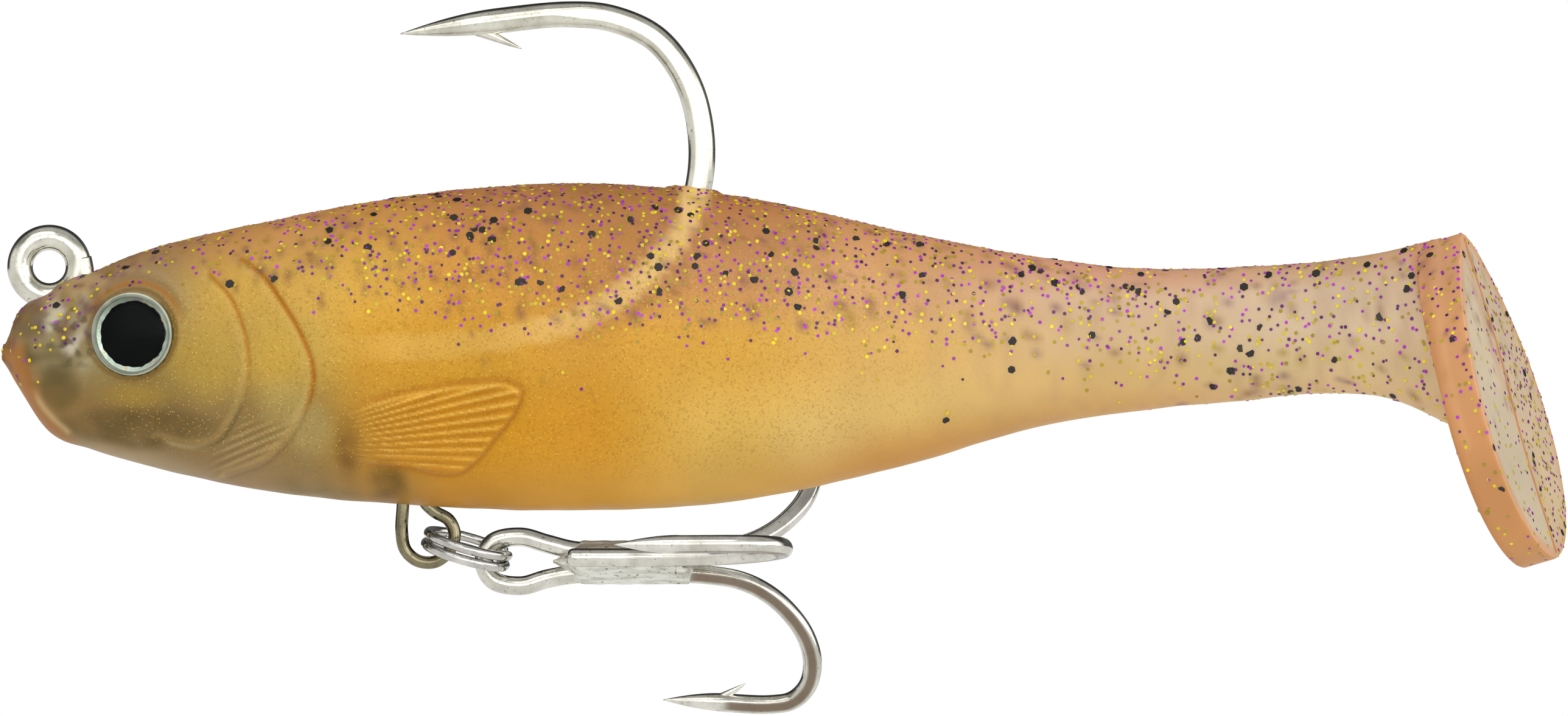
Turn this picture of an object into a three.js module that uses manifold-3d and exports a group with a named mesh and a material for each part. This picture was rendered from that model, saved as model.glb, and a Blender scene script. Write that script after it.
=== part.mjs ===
// A pre-rigged paddle-tail swimbait: a soft fish body poured in two colours over a lead head weight,
// a jig hook through the back, and a treble hook that hangs on a split ring under the belly.
// Millimetres. The origin is the centre of the line-tie eye, +X runs to the tail, +Z is up,
// and -Y is the fish's left side.
import * as THREE from "three";
import { mergeVertices } from "three/addons/utils/BufferGeometryUtils.js";
import Module from "manifold-3d";

// ---- driving dimensions ----

const BODY_LENGTH = 128.5; // nose to paddle, along the spine
const BODY_HEIGHT = 26.85; // deepest place, back to belly
const BODY_WIDTH = 17.6; // widest place
const NOSE_AHEAD = 3.75; // how far the nose reaches ahead of the line tie
const CROWN_DROP = 0.75; // the head's top at the line tie, under the bore of the eye

const TAIL_SET = 20; // degrees that the tail is set over to the left
const SET_START = 0.725; // where along the body the set begins and ends
const SET_END = 0.885;
const HINGE_STATION = 0.757; // the wrist that the tail kicks about
const HINGE_GAP = 0.3;
const LIP_SHARE = 0.8; // how far the socket's lips stay back, over the hinge radius
const LAYER_GAP = 0.3; // between the back and belly pours

const PADDLE_STATION = 0.955;
const PADDLE_HEIGHT = 28.1;
const PADDLE_WIDTH = 18.4;
const PADDLE_THICKNESS = 2.8;
const PADDLE_BEVEL = 0.7;
const PADDLE_DROP = 11; // centre of the paddle below the line tie
const PADDLE_PITCH = 16.5; // degrees, lower end further back

const WIRE_CLEARANCE = 0.3; // round the lead, and round each wire inside the pours or the lead

const JIG_WIRE = 2.1;
const LINE_TIE_BORE = 2.7;
const SHANK_DEPTH = 4.4; // hook shank below the crown
const BEND_X = 53.6; // furthest reach of the jig hook's bend
const GAPE = 26.3; // shank to point
const POINT_LENGTH = 7.5;

const HANGER_WIRE = 1.05;
const HANGER_X = 31.15; // middle of the hanger's loop
const TREBLE_DROP = 3.15; // middle of the loop below the belly over the treble's bends

const RING_OUTSIDE = 7.55;
const RING_WIRE = 0.8;
const RING_THICKNESS = 1.65; // two coils
const RING_SLOPE = 16; // degrees down towards the tail

const TREBLE_WIRE = 1.55;
const TREBLE_REACH = 27; // front of the eye to the back of the bends, between wire centres
const TREBLE_GAPE = 12.6; // shank centre to point
const TREBLE_EYE_HALF = 2.05; // half height of the eye loop, between wire centres
const BRAZE_WEB = 0.19; // solder between two wires of the bundle
const BRAZE_GAP = 0.1; // clearance to each wire
const BRAZE_FILLET = 0.38; // how far the solder stands out past the wires' centres
const TREBLE_ROLLS = { double_low: -111, single: 6.5, double_high: 129 }; // degrees up from -Y
const TREBLE_POINT = 3.4; // ground point of each hook of the double
const SINGLE_POINT = 4.8;
const SINGLE_AHEAD = 2.4; // the single hook is brazed on this far ahead of the other two
const SINGLE_RISE = 0.2; // and this far above the middle of the bundle

const EYE_DIAMETER = 6.9;
const PUPIL_DIAMETER = 5.1;
const EYE_X = 7.3;
const EYE_DROP = 5.55; // eye centre below the line tie
const EYE_TURN = 12; // degrees that an eye faces forwards
const EYE_SINK = 0.8; // seat of the eye below the skin
const FOIL_THICKNESS = 0.3;
const PUPIL_THICKNESS = 0.3;
const DOME_HEIGHT = 1.2;
const EYE_GAP = 0.1;

const LEAD_SKIN = 1.3; // soft plastic under the lead

// Stations of the soft body: share of the length from the nose, then the back and the belly as
// shares of the height above the crown, then the half width as a share of the full width.
const STATIONS = [
  [0, -0.16, -0.225, 0.1],
  [0.009, -0.065, -0.29, 0.18],
  [0.029, 0, -0.425, 0.255],
  [0.056, 0.061, -0.48, 0.318],
  [0.095, 0.134, -0.534, 0.375],
  [0.165, 0.212, -0.605, 0.438],
  [0.258, 0.294, -0.65, 0.49],
  [0.364, 0.333, -0.667, 0.5],
  [0.468, 0.294, -0.639, 0.443],
  [0.585, 0.175, -0.518, 0.318],
  [0.655, 0.112, -0.419, 0.244],
  [0.725, 0.073, -0.363, 0.188],
  [0.795, 0.078, -0.33, 0.153],
  [0.842, 0.093, -0.309, 0.142],
  [0.889, 0.127, -0.326, 0.142],
  [0.932, 0.175, -0.413, 0.153],
  [0.98, 0.22, -0.5, 0.16],
];

// The boundary between the glittered back pour and the plain belly pour, which runs out of the
// belly just ahead of the paddle.
const BOUNDARY = [
  [-0.04, -0.29],
  [0.165, -0.17],
  [0.4, -0.15],
  [0.58, -0.22],
  [0.725, -0.25],
  [0.842, -0.285],
  [0.9, -0.4],
];

// Lead stations: share of the length, its top as a share of the height, its half width.
const LEAD_STATIONS = [
  [0.018, -0.17, 1.4],
  [0.035, -0.06, 2.8],
  [0.08, -0.07, 3.7],
  [0.14, -0.1, 4.4],
  [0.19, -0.16, 4],
  [0.225, -0.28, 3],
  [0.262, -0.4, 2.4],
  [0.28, -0.52, 1.4],
];

// ---- library ----

const wasm = await Module();
wasm.setup();

const rad = THREE.MathUtils.degToRad;

// A closed three.js geometry as a solid that can be joined and cut.
function solid(geometry) {
  const bare = geometry.clone();
  bare.deleteAttribute("normal");
  bare.deleteAttribute("uv");
  const merged = mergeVertices(bare, 1e-4);
  return new wasm.Manifold(
    new wasm.Mesh({
      numProp: 3,
      vertProperties: new Float32Array(merged.attributes.position.array),
      triVerts: new Uint32Array(merged.index.array),
    }),
  );
}

function geometryOf(manifold) {
  const mesh = manifold.getMesh();
  const geometry = new THREE.BufferGeometry();
  geometry.setAttribute("position", new THREE.BufferAttribute(mesh.vertProperties, 3));
  geometry.setIndex(new THREE.BufferAttribute(mesh.triVerts, 1));
  geometry.computeVertexNormals();
  return geometry;
}

// A smooth curve through pairs of numbers, as a function.
function through(pairs, column = 1) {
  const curve = new THREE.CubicInterpolant(
    pairs.map((p) => p[0]),
    pairs.map((p) => p[column]),
    1,
  );
  return (x) => curve.evaluate(x)[0];
}

// A skin over rings of points, closed by a fan at each end.
function loft(rings) {
  const count = rings[0].length;
  const points = rings.flat();
  const index = [];
  for (let i = 0; i + 1 < rings.length; i++) {
    for (let j = 0; j < count; j++) {
      const a = i * count + j;
      const b = i * count + ((j + 1) % count);
      index.push(a, b, b + count, a, b + count, a + count);
    }
  }
  const last = (rings.length - 1) * count;
  for (let j = 1; j + 1 < count; j++) {
    index.push(0, j + 1, j, last, last + j, last + j + 1);
  }
  return new THREE.BufferGeometry().setFromPoints(points).setIndex(index);
}

function roundOutline(radius, sides) {
  const outline = [];
  for (let i = 0; i < sides; i++) {
    const turn = (2 * Math.PI * i) / sides;
    outline.push(new THREE.Vector2(radius * Math.cos(turn), radius * Math.sin(turn)));
  }
  return new THREE.Shape(outline);
}

// The same points with both ends drawn out straight.
function drawnOut(points, by) {
  const beyond = (end, before) =>
    end.clone().addScaledVector(end.clone().sub(before).normalize(), by);
  return [
    beyond(points[0], points[1]),
    ...points.slice(1, -1),
    beyond(points.at(-1), points.at(-2)),
  ];
}

// A round wire along a smooth curve through points.
function wire(points, diameter, steps, sides = 10) {
  const path = new THREE.CatmullRomCurve3(points);
  return solid(
    new THREE.ExtrudeGeometry(roundOutline(diameter / 2, sides), {
      steps,
      bevelEnabled: false,
      extrudePath: path,
    }),
  );
}

// The ground point that ends a wire: a cone from `from` towards `to`.
function spike(from, to, diameter, tipDiameter = 0.15) {
  const along = to.clone().sub(from);
  const cone = new THREE.CylinderGeometry(tipDiameter / 2, diameter / 2, along.length(), 10);
  cone.applyQuaternion(
    new THREE.Quaternion().setFromUnitVectors(new THREE.Vector3(0, 1, 0), along.clone().normalize()),
  );
  const middle = from.clone().add(to).multiplyScalar(0.5);
  return solid(cone.translate(middle.x, middle.y, middle.z));
}

// A flat plate drawn in the XZ plane, as thick as `thickness` along Y and centred on Y = 0.
function plateXZ(corners, thickness) {
  const outline = new THREE.Shape(corners.map(([x, z]) => new THREE.Vector2(x, z)));
  const plate = new THREE.ExtrudeGeometry(outline, { depth: thickness, bevelEnabled: false });
  return solid(plate.rotateX(Math.PI / 2).translate(0, thickness / 2, 0));
}

const at = (x, y, z) => new THREE.Vector3(x, y, z);
const joined = (pieces) => pieces.reduce((sum, piece) => sum.add(piece));

// ---- the soft body's shape ----

const CROWN_Z = -LINE_TIE_BORE / 2 - CROWN_DROP;
const backShare = through(STATIONS, 1);
const bellyShare = through(STATIONS, 2);
const halfShare = through(STATIONS, 3);
const boundaryShare = through(BOUNDARY);
const height = (share) => CROWN_Z + BODY_HEIGHT * share;
const stationOf = (x) => (x + NOSE_AHEAD) / BODY_LENGTH;
const bellyZ = (x) => height(bellyShare(stationOf(x)));
const halfWidth = (x) => BODY_WIDTH * halfShare(stationOf(x));
const HINGE_X = HINGE_STATION * BODY_LENGTH - NOSE_AHEAD;

// The spine in plan: straight, then turned by TAIL_SET between SET_START and SET_END.
function spine(share) {
  const steps = 200;
  const ds = (share * BODY_LENGTH) / steps;
  const place = { x: -NOSE_AHEAD, y: 0, heading: 0 };
  for (let i = 0; i < steps; i++) {
    const s = ((i + 0.5) / steps) * share;
    const turned = THREE.MathUtils.smoothstep(s, SET_START, SET_END);
    place.heading = -rad(TAIL_SET) * turned;
    place.x += ds * Math.cos(place.heading);
    place.y += ds * Math.sin(place.heading);
  }
  return place;
}

// One cross-section: a slightly squared ellipse square to the spine.
function section(share, top, bottom, half, sides) {
  const place = spine(share);
  const ring = [];
  for (let i = 0; i < sides; i++) {
    const turn = (2 * Math.PI * i) / sides;
    const squared = (v) => Math.sign(v) * Math.abs(v) ** 0.92;
    const across = half * squared(Math.cos(turn));
    const up = (top + bottom) / 2 + ((top - bottom) / 2) * squared(Math.sin(turn));
    ring.push(
      at(place.x - across * Math.sin(place.heading), place.y + across * Math.cos(place.heading), up),
    );
  }
  return ring;
}

function bodyLoft() {
  const shares = [0, 0.009, 0.018, 0.029, 0.042];
  const rest = 28;
  for (let i = 0; i <= rest; i++) {
    shares.push(THREE.MathUtils.lerp(0.056, 0.975, i / rest));
  }
  const rings = shares.map((s) =>
    section(s, height(backShare(s)), height(bellyShare(s)), BODY_WIDTH * halfShare(s), 20),
  );
  return solid(loft(rings));
}

// Puts something made around the paddle's centre, facing +X, into its place on the spine.
function inPaddlePlace(geometry) {
  const place = spine(PADDLE_STATION);
  return geometry
    .rotateY(-rad(PADDLE_PITCH))
    .rotateZ(place.heading)
    .translate(place.x, place.y, -PADDLE_DROP);
}

// The paddle: an egg, fuller below its middle, with its edge rounded.
function paddle() {
  const outline = [];
  const count = 36;
  for (let i = 0; i < count; i++) {
    const turn = (2 * Math.PI * i) / count;
    const up = Math.cos(turn);
    const side = Math.sin(turn);
    const taper = up > 0 ? 1.35 : 1.12;
    const egg = Math.sign(side) * Math.abs(side) ** taper * (1 - 0.2 * up);
    const across = (egg * PADDLE_WIDTH) / 2 - side * PADDLE_BEVEL;
    outline.push(new THREE.Vector2(across, up * (PADDLE_HEIGHT / 2 - PADDLE_BEVEL)));
  }
  const plate = new THREE.ExtrudeGeometry(new THREE.Shape(outline.reverse()), {
    depth: PADDLE_THICKNESS - 2 * PADDLE_BEVEL,
    bevelThickness: PADDLE_BEVEL,
    bevelSize: PADDLE_BEVEL,
    bevelSegments: 2,
  });
  plate.translate(0, 0, PADDLE_BEVEL - PADDLE_THICKNESS / 2);
  plate.rotateY(Math.PI / 2).rotateX(Math.PI / 2);
  return solid(inPaddlePlace(plate));
}

function softBody() {
  const reach = 60;
  const behind = new THREE.BoxGeometry(reach, reach, reach).translate(reach / 2, 0, 0);
  const stem = bodyLoft().subtract(solid(inPaddlePlace(behind)));
  return stem.add(paddle());
}

// Everything under the boundary between the pours, raised by `shift`.
function bellyRegion(shift) {
  const far = 80;
  const first = BOUNDARY[0][0];
  const last = BOUNDARY.at(-1)[0];
  const corners = [];
  for (let i = 0; i <= 24; i++) {
    const share = THREE.MathUtils.lerp(last, first, i / 24);
    corners.push([share * BODY_LENGTH - NOSE_AHEAD, height(boundaryShare(share)) + shift]);
  }
  corners.push([corners.at(-1)[0], -far], [corners[0][0], -far]);
  return plateXZ(corners, far);
}

// ---- the jig hook ----

const SHANK_Z = CROWN_Z - SHANK_DEPTH;
const TIE_RADIUS = (LINE_TIE_BORE + JIG_WIRE) / 2;
const gapeZ = (share) => SHANK_Z + GAPE * share;

// From the eye down its neck, back along the shank, up out of the back and round the bend.
const HOOK_PATH = [
  [TIE_RADIUS * 0.72, -TIE_RADIUS * 0.72],
  [2.7, -3.4],
  [4.6, SHANK_Z + 1],
  [8, SHANK_Z + 0.1],
  [BEND_X - 37.6, SHANK_Z],
  [BEND_X - 25, gapeZ(0.004)],
  [BEND_X - 15.5, gapeZ(0.03)],
  [BEND_X - 9.8, gapeZ(0.086)],
  [BEND_X - 4.5, gapeZ(0.22)],
  [BEND_X - 1.2, gapeZ(0.39)],
  [BEND_X, gapeZ(0.585)],
  [BEND_X - 0.9, gapeZ(0.8)],
  [BEND_X - 3.6, gapeZ(0.953)],
  [BEND_X - 7.2, gapeZ(1.02)],
  [BEND_X - 11, gapeZ(1.035)],
  [BEND_X - 17.2, gapeZ(1.013)],
].map(([x, z]) => at(x, 0, z));
const HOOK_TIP = at(BEND_X - 17.2 - POINT_LENGTH, 0, gapeZ(0.975));

function hookWire(diameter) {
  return wire(HOOK_PATH, diameter, 64);
}

function lineTie(wireDiameter) {
  const torus = new THREE.TorusGeometry(TIE_RADIUS, wireDiameter / 2, 10, 24);
  return solid(torus.rotateX(Math.PI / 2));
}

function jigHook() {
  const end = HOOK_PATH.at(-1);
  const barb = plateXZ(
    [
      [end.x - 1.6, end.z - JIG_WIRE * 0.2],
      [end.x + 2.4, end.z - JIG_WIRE * 1.05],
      [end.x + 1.2, end.z],
    ],
    JIG_WIRE * 0.35,
  );
  return joined([hookWire(JIG_WIRE), lineTie(JIG_WIRE), spike(end, HOOK_TIP, JIG_WIRE), barb]);
}

// ---- the hanger and split ring ----

const HANGER_Z = bellyZ(HANGER_X + TREBLE_REACH) - TREBLE_DROP;

// A wire loop whose two legs go up through the belly into the lead.
const HANGER_PATH = [
  [-5.4, 7.6],
  [-2.6, 6.9],
  [-2.1, 5.3],
  [-2.1, 2.6],
  [-2.2, 0.4],
  [-1.9, -1.1],
  [-0.9, -2],
  [0.5, -2.1],
  [1.6, -1.3],
  [2.15, 0],
  [1.7, 1.3],
  [0.4, 2.1],
  [-0.4, 3],
  [-0.45, 4.4],
  [-0.5, 5.9],
].map(([x, z]) => at(HANGER_X + x, 0, HANGER_Z + z));

const RING_RADIUS = (RING_OUTSIDE - RING_WIRE) / 2;
const RING_FRONT = at(HANGER_X - 0.1, 0, HANGER_Z - 0.1); // where it passes through the hanger
const RING_ALONG = at(Math.cos(rad(RING_SLOPE)), 0, -Math.sin(rad(RING_SLOPE)));
const RING_CENTRE = RING_FRONT.clone().addScaledVector(RING_ALONG, RING_RADIUS);
const RING_BACK = RING_FRONT.clone().addScaledVector(RING_ALONG, 2 * RING_RADIUS);

function splitRing() {
  const edge = RING_WIRE * 0.3;
  const inner = RING_RADIUS - RING_WIRE / 2;
  const outer = RING_RADIUS + RING_WIRE / 2;
  const half = RING_THICKNESS / 2;
  const profile = [
    [inner + edge, -half],
    [outer - edge, -half],
    [outer, edge - half],
    [outer, half - edge],
    [outer - edge, half],
    [inner + edge, half],
    [inner, half - edge],
    [inner, edge - half],
    [inner + edge, -half],
  ].map(([r, y]) => new THREE.Vector2(r, y));
  const ring = new THREE.LatheGeometry(profile, 32);
  ring.rotateX(Math.PI / 2).rotateY(rad(RING_SLOPE));
  return solid(ring.translate(RING_CENTRE.x, RING_CENTRE.y, RING_CENTRE.z));
}

// ---- the treble hook ----

const TREBLE_FRONT_X = RING_BACK.x - 1.85; // wire centre at the front of its eye
const TREBLE_Z = RING_BACK.z - 0.1;
const TREBLE_BACK_X = TREBLE_FRONT_X + TREBLE_REACH;
const SHANK_START_X = TREBLE_FRONT_X + 7.6; // where the eye's two legs reach the bundle
const BUNDLE_RADIUS = (TREBLE_WIRE + BRAZE_WEB + 2 * BRAZE_GAP) / Math.sqrt(3);
const BEND_FROM_BACK = 9.5; // where a hook leaves the bundle, ahead of the back of its bend
const SINGLE_BACK_X = TREBLE_BACK_X - SINGLE_AHEAD;
const SINGLE_ROLL = TREBLE_ROLLS.single;

// One hook's bend in its own plane: distance ahead of the bend's back, share of the gape.
const BEND_PATH = [
  [5.9, 0.135],
  [3.7, 0.225],
  [1.9, 0.36],
  [0.6, 0.52],
  [0, 0.7],
  [0.35, 0.87],
  [1.6, 0.98],
  [3.4, 1.01],
  [8.7, 0.99],
];

// A place in a hook's plane as a point: x along the shank, r out from it towards `roll`.
function rolled(x, r, roll) {
  return at(x, -r * Math.cos(rad(roll)), TREBLE_Z + r * Math.sin(rad(roll)));
}

function strand(roll, backX = TREBLE_BACK_X) {
  const endX = backX - BEND_FROM_BACK;
  const straight = [SHANK_START_X, (SHANK_START_X + endX) / 2, endX];
  const bend = BEND_PATH.map(([x, r]) => rolled(backX - x, r * TREBLE_GAPE, roll));
  return [...straight.map((x) => rolled(x, BUNDLE_RADIUS, roll)), ...bend];
}

// The ground point and its barb, which faces the shank.
function pointOf(roll, length, backX = TREBLE_BACK_X) {
  const [ahead, share] = BEND_PATH.at(-1);
  const x = backX - ahead;
  const r = share * TREBLE_GAPE;
  const cone = spike(rolled(x, r, roll), rolled(x - length, r - 0.15, roll), TREBLE_WIRE);
  const corners = [
    [x + 0.1, 0.2],
    [x + 2.5, 0.95],
    [x + 1.7, 0],
  ];
  const barb = new THREE.ExtrudeGeometry(
    new THREE.Shape(corners.map(([bx, drop]) => new THREE.Vector2(bx, r - TREBLE_WIRE * drop))),
    { depth: TREBLE_WIRE * 0.35, bevelEnabled: false },
  );
  barb.rotateX(Math.PI / 2).translate(0, TREBLE_WIRE * 0.175, 0);
  barb.rotateX(rad(90 - roll)).translate(0, 0, TREBLE_Z);
  return cone.add(solid(barb));
}

// One wire makes the eye and two of the hooks.
function trebleDoublePath() {
  const low = strand(TREBLE_ROLLS.double_low);
  const high = strand(TREBLE_ROLLS.double_high);
  const side = (low[0].y + high[0].y) / 2;
  const loop = [
    [5.2, -0.7],
    [3, -0.98],
    [0.75, -0.75],
    [0, 0],
    [0.75, 0.75],
    [3, 0.98],
    [5.2, 0.7],
  ].map(([x, z]) => at(TREBLE_FRONT_X + x, side, TREBLE_Z + z * TREBLE_EYE_HALF));
  return [...low.reverse(), ...loop, ...high];
}

function trebleDouble(diameter) {
  return wire(trebleDoublePath(), diameter, 104, 8);
}

function trebleSingle(diameter) {
  return wire(strand(SINGLE_ROLL, SINGLE_BACK_X), diameter, 40, 8).translate([0, 0, SINGLE_RISE]);
}

// Solder that fills the grooves between the three wires.
function braze() {
  const front = SHANK_START_X + 0.6;
  const length = SINGLE_BACK_X - BEND_FROM_BACK - front;
  const radius = BUNDLE_RADIUS + BRAZE_FILLET;
  const core = new THREE.CylinderGeometry(radius, radius, length, 18);
  core.rotateZ(Math.PI / 2).translate(front + length / 2, 0, TREBLE_Z + SINGLE_RISE / 4);
  const clear = TREBLE_WIRE + 2 * BRAZE_GAP;
  return solid(core).subtract(trebleDouble(clear)).subtract(trebleSingle(clear));
}

// ---- the eyes ----

const EYE_RADIUS = EYE_DIAMETER / 2;
const PUPIL_RADIUS = PUPIL_DIAMETER / 2;
const FOIL_BASE = EYE_GAP;
const PUPIL_BASE = FOIL_BASE + FOIL_THICKNESS + EYE_GAP;
const DOME_BASE = PUPIL_BASE;
const RECESS_TOP = PUPIL_BASE + PUPIL_THICKNESS + EYE_GAP;

// Puts something lathed round +Y, which faces out of the head, on one side (-1 left, 1 right).
function inEyePlace(geometry, side) {
  return geometry
    .rotateX(side < 0 ? Math.PI : 0)
    .rotateZ(side * rad(EYE_TURN))
    .translate(EYE_X, side * (halfWidth(EYE_X) - EYE_SINK), -EYE_DROP);
}

function disc(radius, base, thickness, sides = 24) {
  return new THREE.CylinderGeometry(radius, radius, thickness, sides).translate(
    0,
    base + thickness / 2,
    0,
  );
}

function eyePocket(side) {
  const deep = 6;
  return solid(inEyePlace(disc(EYE_RADIUS + EYE_GAP, 0, deep), side));
}

function eyeFoil(side) {
  return solid(inEyePlace(disc(EYE_RADIUS - EYE_GAP, FOIL_BASE, FOIL_THICKNESS), side));
}

function eyePupil(side) {
  return solid(inEyePlace(disc(PUPIL_RADIUS, PUPIL_BASE, PUPIL_THICKNESS), side));
}

function eyeDome(side) {
  const shoulder = RECESS_TOP + 0.2;
  const crown = [];
  for (let i = 0; i <= 5; i++) {
    const turn = (Math.PI / 2) * (i / 5);
    crown.push([EYE_RADIUS * Math.cos(turn), shoulder + DOME_HEIGHT * Math.sin(turn)]);
  }
  crown.at(-1)[0] = 0;
  const profile = [
    [0, RECESS_TOP],
    [PUPIL_RADIUS + EYE_GAP, RECESS_TOP],
    [PUPIL_RADIUS + EYE_GAP, DOME_BASE],
    [EYE_RADIUS, DOME_BASE],
    ...crown,
  ].map(([r, y]) => new THREE.Vector2(r, y));
  return solid(inEyePlace(new THREE.LatheGeometry(profile, 24), side));
}

// ---- the lead ----

// The lead, or the room for it, which is larger all round by `grow`.
function leadLoft(grow = 0) {
  const top = through(LEAD_STATIONS, 1);
  const half = through(LEAD_STATIONS, 2);
  const first = LEAD_STATIONS[0][0];
  const last = LEAD_STATIONS.at(-1)[0];
  const rings = [];
  for (let i = 0; i <= 16; i++) {
    const share = THREE.MathUtils.lerp(first, last, i / 16);
    const bottom = height(bellyShare(share)) + LEAD_SKIN;
    const drawn = share + ((2 * i) / 16 - 1) * (grow / BODY_LENGTH);
    rings.push(section(drawn, height(top(share)) + grow, bottom - grow, half(share) + grow, 16));
  }
  return solid(loft(rings));
}

function headWeight() {
  return leadLoft().subtract(wireTunnels());
}

// ---- cutting the soft body into its pours and its kicking tail ----

function wireTunnels() {
  const clear = 2 * WIRE_CLEARANCE;
  return joined([
    hookWire(JIG_WIRE + clear),
    lineTie(JIG_WIRE + clear),
    wire(drawnOut(HANGER_PATH, WIRE_CLEARANCE), HANGER_WIRE + clear, 48, 8),
  ]);
}

function hingeCylinder(radius) {
  const tall = 80;
  const cylinder = new THREE.CylinderGeometry(radius, radius, tall, 32);
  return solid(cylinder.rotateX(Math.PI / 2).translate(HINGE_X, 0, 0));
}

function frontAndTail(body) {
  const radius = halfWidth(HINGE_X);
  const far = 200;
  const box = () => new THREE.BoxGeometry(far, far, far);
  const lipX = HINGE_X - LIP_SHARE * radius;
  const front = body
    .subtract(solid(box().translate(lipX + far / 2, 0, 0)))
    .subtract(hingeCylinder(radius + HINGE_GAP));
  const beyond = solid(box().translate(HINGE_X + far / 2, 0, 0));
  const tail = body.intersect(beyond.add(hingeCylinder(radius)));
  return { front, tail };
}

function softPieces() {
  const { front, tail } = frontAndTail(softBody());
  const cored = front
    .subtract(leadLoft(WIRE_CLEARANCE))
    .subtract(wireTunnels())
    .subtract(eyePocket(-1))
    .subtract(eyePocket(1));
  const overBelly = bellyRegion(LAYER_GAP / 2);
  const underBack = bellyRegion(-LAYER_GAP / 2);
  return {
    back_layer: cored.subtract(overBelly),
    belly_layer: cored.intersect(underBack),
    tail_back_layer: tail.subtract(overBelly),
    tail_belly_layer: tail.intersect(underBack),
  };
}

// ---- the assembly ----

function finish(color, roughness, metalness = 0) {
  return new THREE.MeshStandardMaterial({ color, roughness, metalness });
}

const swimbait = new THREE.Group();

function addPiece(name, manifold, material) {
  const mesh = new THREE.Mesh(geometryOf(manifold), material);
  mesh.name = name;
  swimbait.add(mesh);
}

const backPour = finish(0xb8854f, 0.35);
const bellyPour = finish(0xd49a3c, 0.35);
const tinned = finish(0xc9c8bf, 0.28, 1);
const tarnished = finish(0x8f8a7d, 0.35, 1);
const lead = finish(0x6f6c58, 0.6, 1);

const pours = softPieces();
addPiece("back_layer", pours.back_layer, backPour);
addPiece("belly_layer", pours.belly_layer, bellyPour);
addPiece("tail_back_layer", pours.tail_back_layer, backPour);
addPiece("tail_belly_layer", pours.tail_belly_layer, bellyPour);
addPiece("head_weight", headWeight(), lead);
addPiece("jig_hook", jigHook(), tinned);
addPiece("belly_hanger", wire(HANGER_PATH, HANGER_WIRE, 48, 8), tarnished);
addPiece("split_ring", splitRing(), tinned);
addPiece(
  "treble_double_hook",
  joined([
    trebleDouble(TREBLE_WIRE),
    pointOf(TREBLE_ROLLS.double_low, TREBLE_POINT),
    pointOf(TREBLE_ROLLS.double_high, TREBLE_POINT),
  ]),
  tinned,
);
addPiece(
  "treble_single_hook",
  trebleSingle(TREBLE_WIRE).add(
    pointOf(SINGLE_ROLL, SINGLE_POINT, SINGLE_BACK_X).translate([0, 0, SINGLE_RISE]),
  ),
  tinned,
);
addPiece("treble_braze", braze(), finish(0xd6d5cf, 0.5, 1));
for (const [name, side] of [
  ["left", -1],
  ["right", 1],
]) {
  addPiece(name + "_eye_foil", eyeFoil(side), finish(0xd8dcdc, 0.2, 1));
  addPiece(name + "_eye_pupil", eyePupil(side), finish(0x050505, 0.3));
  addPiece(name + "_eye_dome", eyeDome(side), finish(0xe8eeee, 0.05));
}

export default swimbait;
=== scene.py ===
"""Looks of a pre-rigged paddle-tail swimbait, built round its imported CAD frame.

Shapes are worked out in millimetres in the row frame and turned into metres when a mesh is made.
+X runs from the nose to the tail, +Z is up and -Y is the fish's left side.
"""

import math

import bmesh
import bpy
import numpy as np
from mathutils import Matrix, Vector, kdtree, noise


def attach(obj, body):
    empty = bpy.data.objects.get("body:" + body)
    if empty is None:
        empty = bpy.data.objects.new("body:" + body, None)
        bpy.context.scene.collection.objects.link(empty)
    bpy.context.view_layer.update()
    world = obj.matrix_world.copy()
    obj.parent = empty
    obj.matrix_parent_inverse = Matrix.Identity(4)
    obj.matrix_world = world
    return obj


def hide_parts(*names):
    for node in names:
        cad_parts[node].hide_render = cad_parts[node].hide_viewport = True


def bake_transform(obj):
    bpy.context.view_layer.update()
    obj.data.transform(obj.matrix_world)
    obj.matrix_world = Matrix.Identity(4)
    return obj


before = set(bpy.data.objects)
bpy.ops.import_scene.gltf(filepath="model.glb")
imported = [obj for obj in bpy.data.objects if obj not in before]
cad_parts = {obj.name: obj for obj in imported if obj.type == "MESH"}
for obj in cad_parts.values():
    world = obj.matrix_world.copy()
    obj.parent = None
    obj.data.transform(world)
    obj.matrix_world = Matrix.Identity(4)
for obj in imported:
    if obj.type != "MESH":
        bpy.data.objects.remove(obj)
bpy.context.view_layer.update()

MM = 0.001
SEED = 20
LEFT = -1
RIGHT = 1

# ---- the soft body, as the CAD lofts it ----

BODY_LENGTH = 128.5
BODY_HEIGHT = 26.85
BODY_WIDTH = 17.6
NOSE_X = -3.75
CROWN_Z = -2.1
SQUARED = 0.92
TAIL_SET = math.radians(20)
SET_START = 0.725
SET_END = 0.885

# Share of the length, back, belly and half width, as shares of the height and the width.
STATIONS = [
    [0, -0.16, -0.225, 0.1],
    [0.009, -0.065, -0.29, 0.18],
    [0.029, 0, -0.425, 0.255],
    [0.056, 0.061, -0.48, 0.318],
    [0.095, 0.134, -0.534, 0.375],
    [0.165, 0.212, -0.605, 0.438],
    [0.258, 0.294, -0.65, 0.49],
    [0.364, 0.333, -0.667, 0.5],
    [0.468, 0.294, -0.639, 0.443],
    [0.585, 0.175, -0.518, 0.318],
    [0.655, 0.112, -0.419, 0.244],
    [0.725, 0.073, -0.363, 0.188],
    [0.795, 0.078, -0.33, 0.153],
    [0.842, 0.093, -0.309, 0.142],
    [0.889, 0.127, -0.326, 0.142],
    [0.932, 0.175, -0.413, 0.153],
    [0.98, 0.22, -0.5, 0.16],
]

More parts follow.
